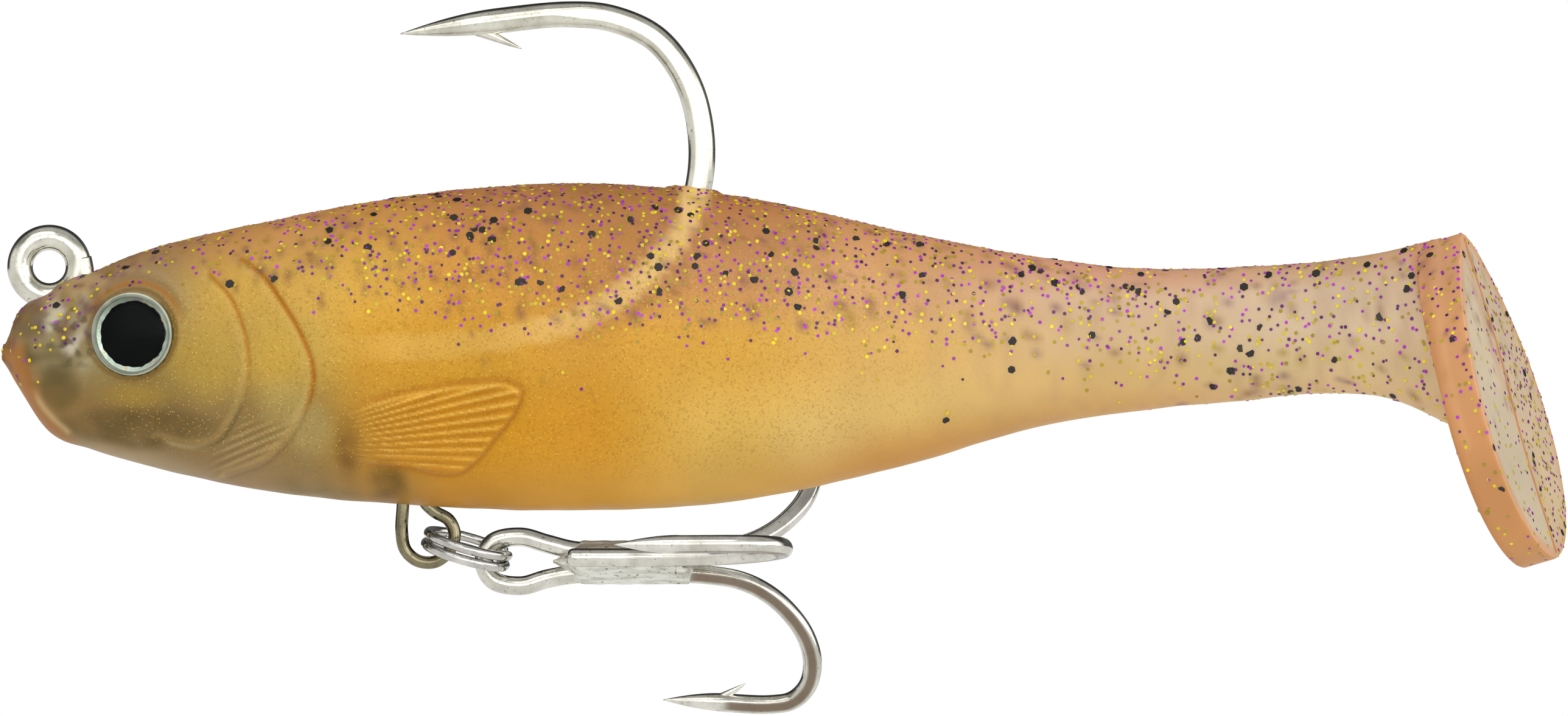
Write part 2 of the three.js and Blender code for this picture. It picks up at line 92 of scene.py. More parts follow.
PADDLE_STATION = 0.955
PADDLE_HEIGHT = 27.7
PADDLE_WIDTH = 18.4
PADDLE_THICKNESS = 3.1
PADDLE_Z = -11
PADDLE_PITCH = math.radians(16.5)
PADDLE_FRONT_BEVEL = 0.4
PADDLE_REAR_BEVEL = 0.28

SKIN_SIDES = 176
PADDLE_SIDES = 176
PADDLE_TOP_SWELL = 0.8  # how much further forward the paddle's front face lies at its top
SHARP_ANGLE = math.radians(38)
HEAD_STEP = 0.25  # between rings of the skin in the finely shaped head and shoulder
TAIL_STEP = 0.8
HEAD_END_X = 41

# ---- reliefs on the flanks, as X and Z ----

GILL_COVER_FRONT = [
    (13.5, -0.7), (15.35, -2.75), (16.45, -5.6), (16.75, -7.65), (16.55, -10.1),
    (15.75, -12.15), (14.3, -14.2), (12.3, -14.8), (9.2, -14.2),
]
GILL_COVER_REAR = [
    (16.15, 0.5), (17.8, -0.7), (19.6, -3.15), (21.05, -5.6), (21.95, -8.05),
    (21.95, -10.1), (21.05, -12.55), (19.85, -14.4), (18, -16.05), (14.95, -17.15),
]
FIN_OUTLINE = [
    (23.7, -12.25), (26, -11.25), (28.5, -10.5), (31.5, -9.85), (34.7, -9.45), (38, -9.4),
    (39.1, -10.1), (38.9, -11.2), (38, -12.7), (37, -13.9), (36, -15.2), (35, -16.2),
    (33.75, -17), (32, -17), (29.3, -16.4), (27.3, -16.2), (25, -16),
]
FACET = [(-3.8, -7.6), (-0.3, -13.45)]  # the cut under the snout, seen from the side
FIN_ROOT = (17, -15)  # where the lines of the fin's rays meet
FIN_RAYS_PER_RADIAN = 23

EYE_X = 7.3
EYE_Z = -5.55
EYE_TURN = math.radians(12)
EYE_SINK = 0.8
EYE_RADIUS = 3.3
BROW_RADII = (4.2, 5.3)

# ---- metal ----

JIG_WIRE = 2.1
LINE_TIE_RADIUS = 2.4
HANGER_WIRE = 1.05
RING_WIRE = 0.8
TREBLE_WIRE = 1.55


# ---- helpers ----


def smooth_curve(pairs, column=1):
    """The CAD's cubic through pairs: a slope is the mean of its two spans', and flat at the ends."""
    x = np.array([p[0] for p in pairs], float)
    y = np.array([p[column] for p in pairs], float)
    spans = np.diff(y) / np.diff(x)
    slopes = np.concatenate([[0], (spans[1:] + spans[:-1]) / 2, [0]])

    def value(at):
        at = np.asarray(at, float)
        i = np.clip(np.searchsorted(x, at) - 1, 0, len(x) - 2)
        width = x[i + 1] - x[i]
        t = (at - x[i]) / width
        return (
            y[i] * (1 + 2 * t) * (1 - t) ** 2
            + y[i + 1] * t * t * (3 - 2 * t)
            + width * (slopes[i] * t * (1 - t) ** 2 + slopes[i + 1] * t * t * (t - 1))
        )

    return value


def smoothstep(value, start, end):
    t = np.clip((np.asarray(value, float) - start) / (end - start), 0, 1)
    return t * t * (3 - 2 * t)


def bump_at(distance, width):
    return np.exp(-((distance / width) ** 2))


def linear(srgb):
    """Linear light from an sRGB colour of 0 to 255."""
    c = np.asarray(srgb, float) / 255
    return np.where(c <= 0.04045, c / 12.92, ((c + 0.055) / 1.055) ** 2.4)


def rgba(srgb):
    return (*linear(srgb), 1)


def mesh_object(name, points, faces):
    """A smooth-shaded mesh from points in millimetres."""
    mesh = bpy.data.meshes.new(name)
    mesh.from_pydata((np.asarray(points, float) * MM).tolist(), [], faces)
    mesh.update()
    mesh.shade_smooth()
    obj = bpy.data.objects.new(name, mesh)
    bpy.context.scene.collection.objects.link(obj)
    return obj


def read(items, name, width=3):
    """One measure of all the items of a mesh, as rows of numbers."""
    values = np.zeros(len(items) * width)
    items.foreach_get(name, values)
    return values.reshape(-1, width)


def points_of(obj):
    return read(obj.data.vertices, "co") / MM


def set_points(obj, points):
    obj.data.vertices.foreach_set("co", (points * MM).ravel())
    obj.data.update()


def normals_of(obj):
    return read(obj.data.vertex_normals, "vector")


def face_centres(mesh):
    return read(mesh.polygons, "center") / MM


def grid_faces(rings, sides, first=0):
    """Quads over rings of points that close on themselves."""
    faces = []
    for i in range(rings - 1):
        for j in range(sides):
            a = first + i * sides + j
            b = first + i * sides + (j + 1) % sides
            faces.append((a, b, b + sides, a + sides))
    return faces


def tube_faces(rings, sides):
    """Faces over rings of points, with a cap at each end."""
    last = (rings - 1) * sides
    caps = [tuple(range(sides - 1, -1, -1)), tuple(range(last, last + sides))]
    return grid_faces(rings, sides) + caps


def set_colours(obj, name, colours):
    attribute = obj.data.color_attributes.new(name, "FLOAT_COLOR", "POINT")
    full = np.ones((len(colours), 4), np.float32)
    full[:, :3] = colours
    attribute.data.foreach_set("color", full.ravel())


def set_numbers(obj, name, values):
    attribute = obj.data.attributes.new(name, "FLOAT", "POINT")
    attribute.data.foreach_set("value", np.asarray(values, np.float32))


def keep_rest_places(obj):
    """Patterns on a bending piece read where each point is at rest, in millimetres."""
    attribute = obj.data.attributes.new("rest_place", "FLOAT_VECTOR", "POINT")
    attribute.data.foreach_set("vector", points_of(obj).astype(np.float32).ravel())


def joined(name, parts):
    """One object from several meshes given as (points, faces)."""
    points, faces, count = [], [], 0
    for part_points, part_faces in parts:
        points.append(np.asarray(part_points, float))
        faces += [tuple(i + count for i in face) for face in part_faces]
        count += len(part_points)
    return mesh_object(name, np.vstack(points), faces)


# ---- sweeps ----


def through(points, spacing):
    """A centripetal Catmull-Rom curve through points, as evenly spaced points."""
    p = np.asarray(points, float)
    p = np.vstack([2 * p[0] - p[1], p, 2 * p[-1] - p[-2]])
    fine = []
    for a, b, c, d in zip(p, p[1:], p[2:], p[3:]):
        t1 = np.linalg.norm(b - a) ** 0.5
        t2 = t1 + np.linalg.norm(c - b) ** 0.5
        t3 = t2 + np.linalg.norm(d - c) ** 0.5
        t = np.linspace(t1, t2, 24, endpoint=False)[:, None]
        ab = a * (t1 - t) / t1 + b * t / t1
        bc = b * (t2 - t) / (t2 - t1) + c * (t - t1) / (t2 - t1)
        cd = c * (t3 - t) / (t3 - t2) + d * (t - t2) / (t3 - t2)
        abc = ab * (t2 - t) / t2 + bc * t / t2
        bcd = bc * (t3 - t) / (t3 - t1) + cd * (t - t1) / (t3 - t1)
        fine.append(abc * (t2 - t) / (t2 - t1) + bcd * (t - t1) / (t2 - t1))
    fine = np.vstack([*fine, p[-2:-1]])
    along = np.concatenate([[0], np.cumsum(np.linalg.norm(np.diff(fine, axis=0), axis=1))])
    wanted = np.linspace(0, along[-1], max(8, round(along[-1] / spacing)))
    return np.column_stack([np.interp(wanted, along, fine[:, k]) for k in range(3)])


def lengths_along(path):
    return np.concatenate([[0], np.cumsum(np.linalg.norm(np.diff(path, axis=0), axis=1))])


def frames_along(path, side):
    """Tangents, and normals and side vectors that turn as little as they can, starting from side."""
    tangents = np.gradient(path, axis=0)
    tangents /= np.linalg.norm(tangents, axis=1)[:, None]
    sides = np.zeros_like(path)
    current = np.asarray(side, float)
    for i, tangent in enumerate(tangents):
        current = current - tangent * (current @ tangent)
        current = current / np.linalg.norm(current)
        sides[i] = current
    return tangents, np.cross(sides, tangents), sides


def sweep(path, inner, outer, side=(0, 1, 0), sides=28, flat=1.0):
    """A wire along path. inner is its half size in the plane of its bends and outer across it, each a
    number or one for each point, and flat is the share of outer where its sides are forged flat."""
    count = len(path)
    inner = np.broadcast_to(inner, count)
    outer = np.broadcast_to(outer, count)
    flat = np.broadcast_to(flat, count)
    _, normals, across = frames_along(path, side)
    turn = np.linspace(0, 2 * math.pi, sides, endpoint=False)
    limit = flat[:, None] * outer[:, None]
    u = inner[:, None] * np.cos(turn)[None, :]
    v = np.clip(outer[:, None] * np.sin(turn)[None, :], -limit, limit)
    rings = path[:, None, :] + u[..., None] * normals[:, None, :] + v[..., None] * across[:, None, :]
    return rings.reshape(-1, 3), tube_faces(count, sides)


def ring_sweep(centre, radius, wire_radius, sides=26, rings=72):
    """A closed ring of round wire that stands in the XZ plane."""
    points = []
    for i in range(rings):
        a = 2 * math.pi * i / rings
        for j in range(sides):
            b = 2 * math.pi * j / sides
            r = radius + wire_radius * math.cos(b)
            points.append((centre[0] + r * math.cos(a), centre[1] + wire_radius * math.sin(b),
                           centre[2] + r * math.sin(a)))
    faces = [tuple(i % (rings * sides) for i in face) for face in grid_faces(rings + 1, sides)]
    return np.array(points), faces


def lathe(profile, origin, axis, sides=64):
    """A profile of (radius, height), from axis to axis, turned round axis, which leaves origin."""
    axis = np.asarray(axis, float)
    up = np.array((0.0, 0.0, 1.0))
    other = np.cross(up, axis)
    turn = np.linspace(0, 2 * math.pi, sides, endpoint=False)
    points = [origin + axis * profile[0][1]]
    for r, h in profile[1:-1]:
        for a in turn:
            points.append(origin + axis * h + r * (math.cos(a) * other + math.sin(a) * up))
    points.append(origin + axis * profile[-1][1])
    rows = len(profile) - 2
    last = 1 + (rows - 1) * sides
    faces = [(0, 1 + (j + 1) % sides, 1 + j) for j in range(sides)]
    faces += grid_faces(rows, sides, 1)
    faces += [(last + j, last + (j + 1) % sides, len(points) - 1) for j in range(sides)]
    return np.array(points), faces


# ---- materials ----


class Shader:
    """A node material with short calls for its nodes, which feed one Principled surface."""

    def __init__(self, name, **values):
        self.material = bpy.data.materials.new(name)
        self.material.use_nodes = True
        self.tree = self.material.node_tree
        self.surface = self.tree.nodes["Principled BSDF"]
        for key, value in values.items():
            self.set(key.replace("_", " "), value)

    def feed(self, socket, value):
        if isinstance(value, bpy.types.NodeSocket):
            self.tree.links.new(value, socket)
        else:
            socket.default_value = value

    def node(self, kind, inputs=None, **settings):
        made = self.tree.nodes.new(kind)
        for key, value in settings.items():
            setattr(made, key, value)
        for key, value in (inputs or {}).items():
            self.feed(made.inputs[key], value)
        return made

    def steps(self, value, start, end, low=0.0, high=1.0):
        """Goes from low to high as value goes from start to end."""
        inputs = {"Value": value, "From Min": start, "From Max": end, "To Min": low, "To Max": high}
        return self.node("ShaderNodeMapRange", inputs).outputs[0]

    def times(self, a, b):
        return self.node("ShaderNodeMath", {0: a, 1: b}, operation="MULTIPLY").outputs[0]

    def set(self, name, value):
        self.feed(self.surface.inputs[name], value)

    def attribute(self, name, output="Fac"):
        return self.node("ShaderNodeAttribute", attribute_name=name).outputs[output]

    def object_place(self):
        """Places on the object in millimetres."""
        place = self.node("ShaderNodeTexCoord").outputs["Object"]
        return self.node("ShaderNodeVectorMath", {0: place, "Scale": 1 / MM}, operation="SCALE").outputs[0]

    def noise(self, place, scale, detail=2.0, stretch=None):
        if stretch:
            place = self.node("ShaderNodeMapping", {"Vector": place, "Scale": stretch}).outputs[0]
        inputs = {"Vector": place, "Scale": scale, "Detail": detail}
        return self.node("ShaderNodeTexNoise", inputs).outputs["Fac"]

    def mix(self, share, a, b, blend="MIX"):
        inputs = {"Factor": share, 6: a, 7: b}
        return self.node("ShaderNodeMix", inputs, data_type="RGBA", blend_type=blend).outputs[2]

    def bump(self, height, distance, strength=1.0):
        made = self.node("ShaderNodeBump", {"Height": height, "Strength": strength, "Distance": distance})
        self.set("Normal", made.outputs[0])


def skin_material():
    """Soft pearl plastic: its tint is painted on the mesh, with fine gold sparkle and cloudy depth."""
    s = Shader("soft_plastic", IOR=1.4, Coat_Weight=0.04, Coat_Roughness=0.2, Specular_IOR_Level=0.16,
               Subsurface_Weight=0.22, Subsurface_Radius=(1.0, 0.55, 0.25), Subsurface_Scale=0.0016)
    place = s.attribute("rest_place", "Vector")
    pearl = s.attribute("pearl")
    cloud_level = s.steps(s.noise(place, 0.16, 3), 0.3, 0.7, 0.93, 1.06)
    clouds = s.node("ShaderNodeCombineColor", {0: cloud_level, 1: cloud_level, 2: cloud_level})
    cloudy = s.mix(1.0, s.attribute("tint", "Color"), clouds.outputs[0], "MULTIPLY")
    grain = s.node("ShaderNodeTexVoronoi", {"Vector": place, "Scale": 6.5})
    grain_levels = s.node("ShaderNodeSeparateColor", {0: grain.outputs["Color"]}).outputs
    glint = s.times(s.steps(grain_levels[0], 0.72, 1.0), s.steps(grain.outputs["Distance"], 0.42, 0.2))
    sparkling = s.mix(s.times(s.times(glint, pearl), 0.7), cloudy, rgba((246, 208, 104)))
    dark = s.times(s.steps(grain_levels[1], 0.7, 1.0), pearl)
    shaded = s.mix(s.times(dark, 0.35), sparkling, rgba((150, 98, 24)))
    s.set("Base Color", shaded)
    s.set("Metallic", s.times(pearl, 0.12))
    s.set("Roughness", s.steps(s.noise(place, 0.6), 0.3, 0.7, 0.38, 0.5))
    s.bump(s.noise(place, 2.6, 4), 0.00006, 0.6)
    return s.material


def flake_material(name, dull, bright, roughness, metallic, glow, coat):
    """Cut foil: each flake catches the light to its own degree, as a painted glint from dull to bright,
    with a faint painted glow.
    """
    s = Shader(name, Roughness=roughness, Coat_Weight=coat, Coat_Roughness=0.12, Metallic=metallic)
    place = s.attribute("rest_place", "Vector")
    # Painted glint: each flake's tone, broken up by noise, moves its colour from dull to bright.
    glint_share = s.times(s.attribute("tone"), s.steps(s.noise(place, 6, 3), 0.25, 0.6, 0.8, 1.0))
    colour = s.mix(glint_share, rgba(dull), rgba(bright))
    s.set("Base Color", colour)
    # Painted glow: a faint emission, though the flakes are no lamp.
    s.set("Emission Color", colour)
    s.set("Emission Strength", glow)
    s.bump(s.noise(place, 5, 2), 0.00002, 0.5)
    return s.material


def metal_material(name, colour, dark, roughness, specks=0.5, flats=None):
    """Plated wire: mottled, scratched and pitted, with patches of darker film, and a colour of its own on
    its flats.
    """
    s = Shader(name, Metallic=1.0)
    place = s.object_place()
    film = s.times(s.steps(s.noise(place, 0.35, 2), 0.4, 0.7), 0.35)
    mottle = s.times(s.steps(s.noise(place, 0.9, 4), 0.42, 0.72), 0.25)
    pits = s.times(s.steps(s.noise(place, 3.4, 3), 0.62, 0.72), specks)
    base = s.mix(film, rgba(colour), rgba(dark))
    base = s.mix(mottle, base, rgba(dark))
    base = s.mix(pits, base, rgba([c * 0.45 for c in dark]))
    if flats:
        base = s.mix(s.times(s.attribute("flat"), 0.85), base, rgba(flats))
    s.set("Base Color", base)
    scratches = s.noise(place, 5, 5, stretch=(0.3, 2.0, 2.0))
    s.set("Roughness", s.steps(scratches, 0.3, 0.75, roughness * 0.7, roughness * 1.5))
    s.bump(s.mix(0.5, scratches, s.noise(place, 1.6, 3)), 0.00002, 0.35)
    return s.material


def braze_material():
    s = Shader("braze", Metallic=0.6)
    place = s.object_place()
    streaks = s.steps(s.noise(place, 1.4, 4, stretch=(0.35, 1.6, 1.6)), 0.4, 0.7)
    pits = s.steps(s.noise(place, 3.2, 2), 0.63, 0.72)
    base = s.mix(streaks, rgba((232, 232, 222)), rgba((188, 186, 172)))
    s.set("Base Color", s.mix(s.times(pits, 0.8), base, rgba((62, 58, 50))))
    s.set("Roughness", s.steps(streaks, 0, 1, 0.34, 0.55))
    s.bump(s.noise(place, 2.2, 4), 0.00012, 0.7)
    return s.material


def lead_material():
    s = Shader("lead", Metallic=0.9)
    place = s.object_place()
    bloom = s.steps(s.noise(place, 0.5, 4), 0.35, 0.7)
    s.set("Base Color", s.mix(bloom, rgba((96, 94, 88)), rgba((150, 146, 134))))
    s.set("Roughness", s.steps(bloom, 0, 1, 0.45, 0.7))
    s.bump(s.noise(place, 1.5, 4), 0.0002, 0.6)
    return s.material


def foil_material():
    """Holographic foil: silver with soft rainbow streaks, and painted shade over its top, where the brow's
    shadow falls.
    """
    s = Shader("eye_foil", Metallic=1.0, Roughness=0.24)
    place = s.object_place()
    wave = s.steps(s.noise(place, 0.5, 2), 0.3, 0.7)
    ramp = s.node("ShaderNodeValToRGB", {0: wave})
    stops = ramp.color_ramp.elements
    stops[0].color = rgba((216, 220, 208))
    stops[1].color = rgba((226, 204, 222))
    for at, colour in ((0.35, (204, 214, 200)), (0.6, (226, 228, 224)), (0.8, (228, 220, 196))):
        stops.new(at).color = rgba(colour)
    fine = s.steps(s.noise(place, 4, 3), 0.35, 0.7)
    silver = s.mix(s.times(fine, 0.25), ramp.outputs[0], rgba((128, 134, 126)))
    height = s.node("ShaderNodeSeparateXYZ", {0: place}).outputs["Z"]
    # Painted shade: the foil darkens towards its top, under the brow.
    painted_top_shade = s.steps(height, EYE_Z + 1.4, EYE_Z + 3.1, 0, 0.75)
    s.set("Base Color", s.mix(painted_top_shade, silver, rgba((66, 68, 52))))
    s.bump(s.noise(place, 3, 3), 0.00005, 0.5)
    return s.material


def pupil_material():
    s = Shader("eye_pupil", Roughness=0.4, Specular_IOR_Level=0.04)
    dust = s.steps(s.noise(s.object_place(), 3.5, 2), 0.72, 0.8)
    s.set("Base Color", s.mix(dust, rgba((5, 5, 6)), rgba((60, 60, 64))))
    return s.material


def dome_material():
    """Clear epoxy: what is under it shows straight through, and its surface has a gloss."""
    s = Shader("eye_dome")
    ripple = s.noise(s.object_place(), 0.8, 2)
    wave = s.node("ShaderNodeBump", {"Height": ripple, "Strength": 0.3, "Distance": 0.00003}).outputs[0]
    epoxy = s.mix(ripple, rgba((252, 253, 252)), rgba((240, 245, 241)))
    clear = s.node("ShaderNodeBsdfTransparent", {"Color": epoxy})
    gloss = s.node("ShaderNodeBsdfGlossy", {"Roughness": 0.04, "Normal": wave})
    edge = s.node("ShaderNodeFresnel", {"IOR": 1.11, "Normal": wave})
    both = s.node("ShaderNodeMixShader", {0: edge.outputs[0], 1: clear.outputs[0], 2: gloss.outputs[0]})
    s.tree.links.new(both.outputs[0], s.tree.nodes["Material Output"].inputs["Surface"])
    s.tree.nodes.remove(s.surface)
    return s.material


def rim_material():
    """Silvery plastic between the dome and the skin."""
    s = Shader("eye_rim", Roughness=0.2, Coat_Weight=0.5, Coat_Roughness=0.08, Subsurface_Weight=0.3,
               Subsurface_Scale=0.0006)
    wave = s.steps(s.noise(s.object_place(), 0.7, 3), 0.35, 0.65)
    s.set("Base Color", s.mix(wave, rgba((206, 212, 196)), rgba((168, 176, 158))))
    return s.material


def floor_material():
    s = Shader("floor", Roughness=0.9)
    place = s.node("ShaderNodeTexCoord").outputs["Object"]
    s.set("Base Color", s.mix(s.noise(place, 3, 2), rgba((244, 244, 243)), rgba((250, 250, 249))))
    return s.material


def dress(obj, material):
    obj.data.materials.clear()
    obj.data.materials.append(material)


# ---- the soft body's shape ----

back_share = smooth_curve(STATIONS, 1)
belly_share = smooth_curve(STATIONS, 2)
half_share = smooth_curve(STATIONS, 3)


def spine_table(steps=4000):
    """Shares of the length, and the spine's place and heading at each."""
    share = np.linspace(0, 1, steps + 1)
    middle = (share[1:] + share[:-1]) / 2
    heading = -TAIL_SET * smoothstep(middle, SET_START, SET_END)
    ds = BODY_LENGTH / steps
    x = NOSE_X + np.concatenate([[0], np.cumsum(ds * np.cos(heading))])
    y = np.concatenate([[0], np.cumsum(ds * np.sin(heading))])
    return share, x, y, -TAIL_SET * smoothstep(share, SET_START, SET_END)


SPINE = spine_table()


def spine(share):
    table, x, y, heading = SPINE
    return np.interp(share, table, x), np.interp(share, table, y), np.interp(share, table, heading)


def share_at(x):
    return np.interp(x, SPINE[1], SPINE[0])


def body_z(shares, share):
    return CROWN_Z + BODY_HEIGHT * shares(share)


def half_width(share):
    return BODY_WIDTH * half_share(share)


def skin_rings():
    """The shares of the length where the skin has its rings, as far as the middle of the paddle."""
    near = np.arange(0.12, 1.2, 0.12)
    head = np.arange(1.2, HEAD_END_X - NOSE_X, HEAD_STEP)
    tail = np.arange(HEAD_END_X - NOSE_X, PADDLE_STATION * BODY_LENGTH, TAIL_STEP)
    return np.concatenate([[0], near, head, tail, [PADDLE_STATION * BODY_LENGTH]]) / BODY_LENGTH


def nose_cap(points):
    """Rings that close the nose with a low dome, from its centre outwards."""
    centre = points[0].mean(axis=0)
    rings = []
    for k in (0.12, 0.35, 0.58, 0.8):
        ring = centre + (points[0] - centre) * k
        ring[:, 0] -= 0.1 * (1 - k * k)
        rings.append(ring)
    return rings


def leaned(share, sin):
    """The share at each point of a ring: the last rings lean until they lie in the paddle's plane."""
    top, bottom = body_z(back_share, share), body_z(belly_share, share)
    up = (top + bottom) / 2 + (top - bottom) / 2 * sin
    lean = math.tan(PADDLE_PITCH) * smoothstep(share, 0.84, PADDLE_STATION)
    return share - lean * (up - PADDLE_Z) / BODY_LENGTH


def body_mesh():
    shares = skin_rings()
    turn = np.linspace(0, 2 * math.pi, SKIN_SIDES, endpoint=False)
    cos = np.sign(np.cos(turn)) * np.abs(np.cos(turn)) ** SQUARED
    sin = np.sign(np.sin(turn)) * np.abs(np.sin(turn)) ** SQUARED
    rings = []
    for share in shares:
        share = leaned(share, sin)
        x, y, heading = spine(share)
        top, bottom = body_z(back_share, share), body_z(belly_share, share)
        across = half_width(share) * cos
        up = (top + bottom) / 2 + (top - bottom) / 2 * sin
        rings.append(np.column_stack([x - across * np.sin(heading), y + across * np.cos(heading), up]))
    rings = nose_cap(rings) + rings
    return mesh_object("soft_body", np.vstack(rings), tube_faces(len(rings), SKIN_SIDES))


def paddle_basis():
    """The paddle's centre, and its across, up and rearward directions."""
    x, y, heading = spine(PADDLE_STATION)
    c, s = math.cos(heading), math.sin(heading)
    lean = PADDLE_PITCH
    rear = np.array((math.cos(lean) * c, math.cos(lean) * s, math.sin(lean)))
    up = np.array((-math.sin(lean) * c, -math.sin(lean) * s, math.cos(lean)))
    across = np.array((-s, c, 0.0))
    return np.array((float(x), float(y), PADDLE_Z)) + 0.15 * rear, across, up, rear


def paddle_outline(inset, sides):
    """The paddle's egg shape, fuller below its middle, drawn in by inset."""
    turn = np.linspace(0, 2 * math.pi, sides, endpoint=False)
    up, side = np.cos(turn), np.sin(turn)
    taper = np.where(up > 0, 1.35, 1.12)
    egg = np.sign(side) * np.abs(side) ** taper * (1 - 0.2 * up)
    return egg * PADDLE_WIDTH / 2 - side * inset, up * (PADDLE_HEIGHT / 2 - inset)


def paddle_swell(up):
    """How much further forward the front face lies at a height on the paddle."""
    return PADDLE_TOP_SWELL * smoothstep(up, 0, PADDLE_HEIGHT / 2)


def paddle_mesh():
    centre, across, up, rear = paddle_basis()
    half = PADDLE_THICKNESS / 2
    front, back = PADDLE_FRONT_BEVEL, PADDLE_REAR_BEVEL
    profile = [(front, share, -half) for share in np.linspace(0.06, 1, 14)]
    for a in np.linspace(0.25, 1, 4) * math.pi / 2:
        profile.append((front * (1 - math.sin(a)), 1, -half + front * (1 - math.cos(a))))
    profile += [(0, 1, d) for d in np.linspace(-half + front, half - back, 7)[1:]]
    for a in np.linspace(0.25, 1, 4) * math.pi / 2:
        profile.append((back * (1 - math.cos(a)), 1, half - back * (1 - math.sin(a))))
    profile += [(back, share, half) for share in np.linspace(1, 0.04, 26)[1:]]
    rings = []
    for inset, share, depth in profile:
        side, height = paddle_outline(inset, PADDLE_SIDES)
        fuller = paddle_swell(height) * (0.5 - depth / PADDLE_THICKNESS)
        rings.append(centre + np.outer(side * share, across) + np.outer(height * share, up)
                     + np.outer(depth - fuller, rear))
    return mesh_object("paddle_cutter", np.vstack(rings), tube_faces(len(rings), PADDLE_SIDES))


def face_outwards(obj):
    """Turns every face outwards, which the boolean needs."""
    bm = bmesh.new()
    bm.from_mesh(obj.data)
    bmesh.ops.recalc_face_normals(bm, faces=bm.faces)
    bm.to_mesh(obj.data)
    bm.free()


def join_paddle(body, paddle):
    for obj in (body, paddle):
        face_outwards(obj)
    union = body.modifiers.new("union", "BOOLEAN")
    union.operation = "UNION"
    union.solver = "MANIFOLD"
    union.object = paddle
    made = bpy.data.meshes.new_from_object(body.evaluated_get(bpy.context.evaluated_depsgraph_get()))
    body.modifiers.clear()
    body.data = made
    bpy.data.objects.remove(paddle)
    body.data.shade_smooth()
    body.data.set_sharp_from_angle(angle=SHARP_ANGLE)


def in_paddle(points):
    """Across, up and rearward places in the paddle."""
    centre, across, up, rear = paddle_basis()
    d = points - centre
    return d @ across, d @ up, d @ rear


def behind_paddle_front(points):
    """How far a point lies behind the paddle's front face."""
    _, up, depth = in_paddle(points)
    return np.where(points[:, 0] > 100, depth + PADDLE_THICKNESS / 2 + paddle_swell(up), -100)


def on_paddle(points):
    return behind_paddle_front(points) > -0.02


def paddle_share(points):
    """0 on the stem and 1 on the paddle, with a soft step just ahead of the paddle's front face."""
    return smoothstep(behind_paddle_front(points), -0.8, -0.15)


# ---- distances on the flanks ----


def line_distance(x, z, line):
    """Distance to a broken line, and whether a point lies behind it, as -1 or 1."""
    nearest = np.full(len(x), 1e9)
    behind = np.zeros(len(x))
    for (ax, az), (bx, bz) in zip(line, line[1:]):
        dx, dz = bx - ax, bz - az
        t = np.clip(((x - ax) * dx + (z - az) * dz) / (dx * dx + dz * dz), 0, 1)
        d = np.hypot(x - ax - t * dx, z - az - t * dz)
        closer = d < nearest
        nearest = np.where(closer, d, nearest)
        cross = dx * (z - az) - dz * (x - ax)
        behind = np.where(closer, np.sign(cross), behind)
    return nearest, behind


def smoothed(line, spacing=0.25):
    curve = through([(x, 0, z) for x, z in line], spacing)
    return [(p[0], p[2]) for p in curve]


def inside(x, z, outline):
    crossed = np.zeros(len(x), bool)
    for (ax, az), (bx, bz) in zip(outline, outline[1:] + outline[:1]):
        between = (az > z) != (bz > z)
        crossed ^= between & (x < (bx - ax) * (z - az) / (bz - az + 1e-12) + ax)
    return crossed


def eye_basis(side):
    share = share_at(EYE_X)
    origin = np.array((EYE_X, side * (half_width(share) - EYE_SINK), EYE_Z))
    axis = np.array((-math.sin(EYE_TURN), side * math.cos(EYE_TURN), 0))
    return origin, axis


def eye_distance(points):
    """Distance from the nearer eye's axis, and the height over its seat."""
    radius = np.full(len(points), 1e9)
    height = np.zeros(len(points))
    for side in (LEFT, RIGHT):
        origin, axis = eye_basis(side)
        d = points - origin
        h = d @ axis
        r = np.linalg.norm(d - h[:, None] * axis, axis=1)
        here = np.sign(points[:, 1]) == side
        radius = np.where(here, r, radius)
        height = np.where(here, h, height)
    return radius, height


# ---- reliefs ----


class Flank:
    """Places on the flanks, and the distances that reliefs and tints share."""

    def __init__(self, points):
        self.x, self.z = points[:, 0], points[:, 2]
        self.share = share_at(self.x)
        top, bottom = body_z(back_share, self.share), body_z(belly_share, self.share)
        self.rise = (self.z - bottom) / (top - bottom)
        self.front, self.behind_front = line_distance(self.x, self.z, smoothed(GILL_COVER_FRONT))
        self.rear, self.behind_rear = line_distance(self.x, self.z, smoothed(GILL_COVER_REAR))
        outline = smoothed(FIN_OUTLINE + FIN_OUTLINE[:1])
        self.fin_edge, _ = line_distance(self.x, self.z, outline)
        self.in_fin = inside(self.x, self.z, outline)
        self.ray = np.arctan2(self.z - FIN_ROOT[1], self.x - FIN_ROOT[0]) * FIN_RAYS_PER_RADIAN
        self.eye, self.eye_height = eye_distance(points)

    def gill_rays(self):
        """Where the fine rays between the two gill covers show."""
        low = smoothstep(self.z, -12, -13.6)
        between = (self.behind_front > 0) & (self.behind_rear < 0) & (self.x > 12.5)
        between = between * smoothstep(self.x, 12.8, 15.6)
        return low * between * smoothstep(self.front, 0.2, 0.9) * smoothstep(self.rear, 0.2, 0.9)

    def gill_stripes(self):
        return np.cos((self.z - 0.42 * self.x) * 9.5)

    def fin_shown(self):
        """The fin grows out of the flank at its root."""
        return smoothstep(self.x, 24.2, 28.5)

    def fin_crest(self):
        """The fin's thicker leading edge."""
        return smoothstep(self.z - 0.13 * (self.x - 26), -12.6, -11.9)

    def brow(self, radius):
        """How much of an arc over the eye shows: it fades out towards both ends."""
        turned = (self.z - EYE_Z) / np.maximum(self.eye, 1e-6)
        return bump_at(self.eye - radius, 0.24) * smoothstep(turned, 0.1, 0.7)


